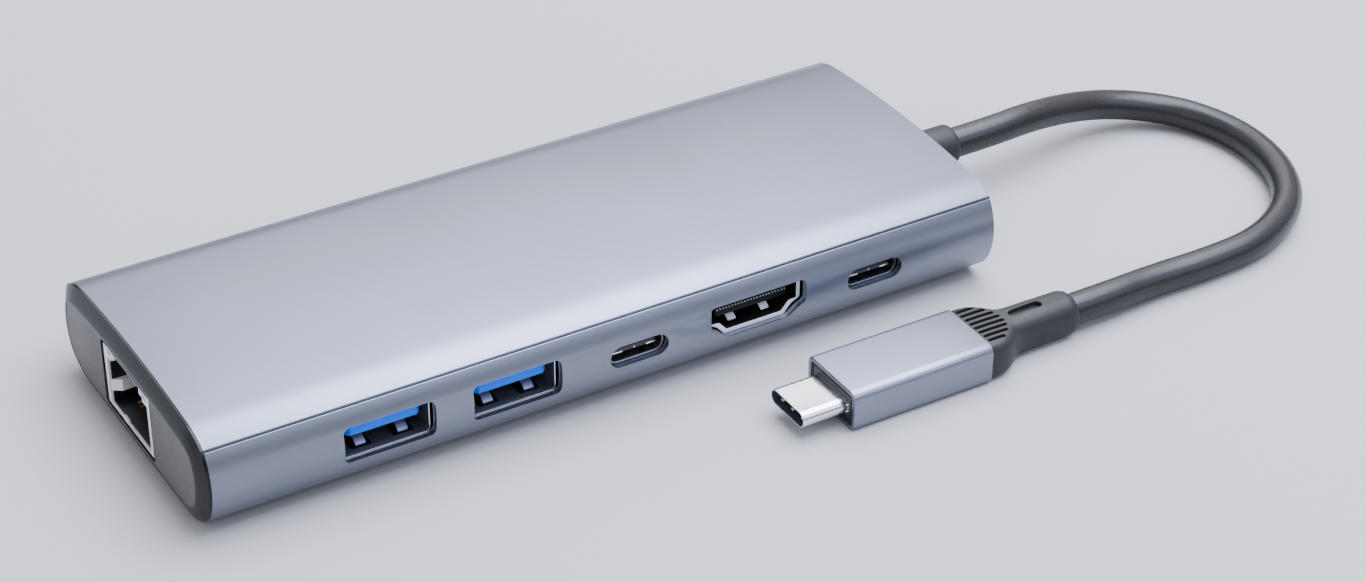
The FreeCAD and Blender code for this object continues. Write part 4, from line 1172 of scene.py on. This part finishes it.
hubRelief = {
    # (distance back from the tip, radius), millimetres, from the flange out and into the mouth
    "profile": (
        (12.6, 4.8), (11.3, 4.8), (11.2, 3.2), (0.8, 3.2), (0.5, 3.14), (0.24, 2.97), (0.07, 2.75),
        (0.0, 2.55), (0.05, 2.45), (1.2, 2.39),
    ),
}


def roundOutline(radius, count=48):
    return arc((0, 0), radius, 0, 360 - 360 / count, count - 1)


def makeHubRelief():
    low, high, middle = endView("hub_strain_relief", "x")[:3]
    stations = [(high.x - back * mm, roundOutline(r * mm)) for back, r in hubRelief["profile"]]
    stations[0] = (low.x, stations[0][1])
    piece = loft("hubStrainRelief", "x", stations, middle)
    finish(piece, ["hub_strain_relief"], "grip")
    print("hub relief done")


overmould = {
    # along the plug from the sleeve's end: (x, width, height, corner), all millimetres
    "stations": (
        (0.0, 11.2, 5.9, 1.3), (1.2, 11.25, 5.95, 1.4), (2.6, 11.1, 5.95, 1.6),
        (3.6, 10.5, 5.9, 1.8), (4.4, 9.6, 5.85, 2.0), (5.1, 8.5, 5.8, 2.15),
        (5.7, 7.5, 5.75, 2.2), (6.4, 6.7, 5.8, 2.2), (7.4, 6.2, 5.95, 2.2),
        (8.6, 6.05, 6.05, 2.2), (10.0, 6.05, 6.1, 2.25), (15.9, 6.0, 6.1, 2.4),
        (16.5, 5.9, 6.0, 2.5), (16.95, 5.7, 5.75, 2.6), (17.2, 5.3, 5.3, 2.55),
        (17.18, 4.95, 4.95, 2.45), (16.6, 4.8, 4.8, 2.39),
    ),
    "tenon": (10.1 * mm, 4.68 * mm, 0.5 * mm),
    "tenonLap": 0.2 * mm,
    "grooveHeight": 2.95 * mm,
    "grooveCount": 8,
    "groovePitch": 1.12 * mm,
    "grooveWidth": 0.62 * mm,
    "grooveDepth": 0.55 * mm,
    "grooveStart": 0.35 * mm,
    "grooveReach": 4.6 * mm,     # the grooves end on an arc of this radius
    "grooveShift": 0.9 * mm,
    "slot": (5.6 * mm, 1.45 * mm),
    "slotBack": 9.4 * mm,
    "slotHeight": 3.05 * mm,
    "slotDepth": 0.68 * mm,
    "seamEdge": 0.06 * mm,
}


def cutBothFaces(piece, name, outline, middleZ, place):
    # the same recess from above and from below
    rise, depth = overmould[f"{name}Height"], overmould[f"{name}Depth"]
    for z in (middleZ + rise, middleZ - rise):
        carve(piece, prism(name, outline, "z", z - depth, z + depth, place))


def makeOvermould():
    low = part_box("plug_overmould")[0]
    _, sleeveHigh, middle = endView("plug_sleeve", "x")[:3]
    seat = sleeveHigh.x
    stations = [
        (seat + x * mm, roundedRectangle(width * mm, height * mm, corner * mm, 7))
        for x, width, height, corner in overmould["stations"]
    ]
    piece = loft("plugOvermould", "x", stations, middle)
    tenonEnd = seat + overmould["tenonLap"]
    tenon = roundedRectangle(*overmould["tenon"], 4)
    join(piece, prism("tenon", tenon, "x", low.x, tenonEnd, middle))
    count, pitch = overmould["grooveCount"], overmould["groovePitch"]
    for i in range(count):
        y = (i - (count - 1) / 2) * pitch
        arcEnd = math.sqrt(max(0, overmould["grooveReach"] ** 2 - y ** 2))
        length = overmould["grooveShift"] + arcEnd - overmould["grooveStart"]
        groove = stadium(length, overmould["grooveWidth"], steps=5)
        place = (seat + overmould["grooveStart"] + length / 2, middle[0] + y)
        cutBothFaces(piece, "groove", groove, middle[1], place)
    slot = stadium(*overmould["slot"], steps=6)
    cutBothFaces(piece, "slot", slot, middle[1], (seat + overmould["slotBack"], middle[0]))
    bevelEdges(piece, overmould["seamEdge"], lambda p: p.x > tenonEnd, segments=1, sharpest=60)
    finish(piece, ["plug_overmould"], "grip", angle=38)
    print("overmould done")


plug = {
    "sleeveCorner": 1.35 * mm,
    "sleeveWall": 0.75 * mm,
    "innerCorner": 0.5 * mm,
    "sleeveFrontEdge": 0.28 * mm,
    "sleeveBackEdge": 0.1 * mm,
    "insertSet": 0.22 * mm,
    "insertOutline": (10.2 * mm, 4.78 * mm, 0.5 * mm),
    # the insert's moulded groove: (inset, depth) one after the other
    "insertSteps": (
        (0.28 * mm, 0.0), (0.03 * mm, -0.14 * mm), (0.14 * mm, 0.0), (0.03 * mm, 0.14 * mm),
    ),
    "insertHole": (8.3 * mm, 2.45 * mm),
    "shellWall": 0.22 * mm,
    "shellEdge": 0.09 * mm,
    "inwardLook": -0.1 * mm,     # a face that looks this far towards the axis is inside
    # the small ridges at the shell's root, millimetres from the insert and from the axis
    "ridge": ((-0.6, -3.9), (-0.5, -4.12), (0.2, -4.12), (0.2, -3.9)),
    "ridgeCount": 3,
    "ridgePitch": 0.5 * mm,
    "ridgeHalf": 0.12 * mm,
    "coreSet": 0.8 * mm,
    "coreSlot": (6.9 * mm, 0.86 * mm, 0.2 * mm),
    "coreSlotDepth": 5.7 * mm,
    "latchTip": (0.55 * mm, 0.22 * mm, 0.09 * mm),
    "latchTipReach": (0.5 * mm, 1.6 * mm),
    "latchTipDrop": 0.45 * mm,
    "latchTipPlaces": (-2.5 * mm, 0.0, 2.5 * mm),
}


def makePlugSleeve():
    low, high, middle, width, height = endView("plug_sleeve", "x")
    wall = plug["sleeveWall"]
    sleeve = tube(
        "plugSleeve", roundedRectangle(width, height, plug["sleeveCorner"], 8),
        roundedRectangle(width - 2 * wall, height - 2 * wall, plug["innerCorner"], 5),
        "x", low.x, high.x, middle,
    )
    bevelEdges(sleeve, plug["sleeveFrontEdge"], lambda p: p.x < low.x + near)
    bevelEdges(sleeve, plug["sleeveBackEdge"], lambda p: p.x > high.x - near)
    finish(sleeve, ["plug_sleeve"], "aluminium")
    print("plug sleeve done")


def makePlugInsert():
    low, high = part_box("plug_front_insert")
    sleeveLow, _, middle = endView("plug_sleeve", "x")[:3]
    front = sleeveLow.x + plug["insertSet"]
    outline = roundedRectangle(*plug["insertOutline"], 5)
    insert = prism("plugFrontInsert", outline, "x", high.x, front, middle)
    choose(insert)
    bpy.ops.object.mode_set(mode="EDIT")
    bpy.ops.mesh.select_mode(type="FACE")
    selectFaces(insert, lambda f: f.normal.x < -facing)
    for thickness, depth in plug["insertSteps"]:
        bpy.ops.mesh.inset(thickness=thickness, depth=depth)
    bpy.ops.object.mode_set(mode="OBJECT")
    hole = stadium(*plug["insertHole"])
    carve(insert, prism("hole", hole, "x", low.x - mm, high.x + mm, middle))
    finish(insert, ["plug_front_insert"], "greyNylon")


def makePlugShell():
    low, high, middle, width, height = endView("plug_shell", "x")
    wall = plug["shellWall"]
    inner = stadium(width - 2 * wall, height - 2 * wall)
    shell = tube("plugShell", stadium(width, height), inner, "x", low.x, high.x, middle)
    bevelEdges(shell, plug["shellEdge"], lambda p: p.x < low.x + near, segments=3)

    def facesInward(f):
        outward = Vector((0, f.center.y - middle[0], f.center.z - middle[1]))
        return f.normal.dot(outward) < plug["inwardLook"]

    # the faces looking inward take the darker steel as painted shade inside the shell
    paintWhere(shell, "nickel", "dullShadedSteel", facesInward)
    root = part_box("plug_front_insert")[0].x
    for i in range(plug["ridgeCount"]):
        z = middle[1] + (i - (plug["ridgeCount"] - 1) / 2) * plug["ridgePitch"]
        outline = [(root + along * mm, middle[0] + across * mm) for along, across in plug["ridge"]]
        join(shell, prism("ridge", outline, "z", z - plug["ridgeHalf"], z + plug["ridgeHalf"]))
    finish(shell, ["plug_shell"])

    low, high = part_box("plug_contact_block")
    core = prism("plugContactBlock", inner, "x", low.x + plug["coreSet"], high.x, middle)
    slot = roundedRectangle(*plug["coreSlot"], 4)
    carve(core, prism("slot", slot, "x", low.x - mm, low.x + plug["coreSlotDepth"], middle))
    paint(core, "black")
    for across in plug["latchTipPlaces"]:
        place = (middle[0] + across, middle[1] - plug["latchTipDrop"])
        join(core, paint(stud(plug, "latchTip", "x", low.x, place), "tin"))
    finish(core, ["plug_contact_block"])
    print("plug shell done")


keptNodes = {
    "gold": ["data_port_left_contacts", "data_port_right_contacts", "slim_port_left_contacts",
             "slim_port_right_contacts", "video_port_contacts", "network_jack_contacts",
             "plug_contacts"],
    "board": ["main_circuit_board", "plug_circuit_board"],
    "chip": ["hub_controller_chip", "network_controller_chip", "video_converter_chip",
             "power_controller_chip"],
    "ferrite": ["network_transformer", "power_inductors"],
    "ceramic": ["ceramic_capacitors"],
    "dullShadedSteel": ["clock_crystals"],
    "jacket": ["cable_end_in_hub", "cable_end_in_plug"],
    "wire": ["cable_wires"],
}


def dressKeptNodes():
    for finishName, nodes in keptNodes.items():
        for node in nodes:
            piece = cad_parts[node]
            piece.data.materials.clear()
            piece.data.materials.append(finishes[finishName])


def makeFloor():
    deselectAll()
    bpy.ops.mesh.primitive_plane_add(size=6.0, location=(0, 0, 0))
    floor = bpy.context.object
    floor.name = "studioFloor"
    floor.data.materials.append(makeStudioFloor())


makeFinishes()
addCamera()
addLights()
makeFloor()
print("stage done")
cablePiece = makeCable()
makeHubRelief()
makeHousing()
makeLeftCap()
makeRightCap()
for portSide in ("left", "right"):
    makeDataPort(portSide)
    makeSlimPort(portSide)
makeVideoPort()
makeNetworkJack()
makePlugSleeve()
makePlugInsert()
makePlugShell()
makeOvermould()
dressKeptNodes()
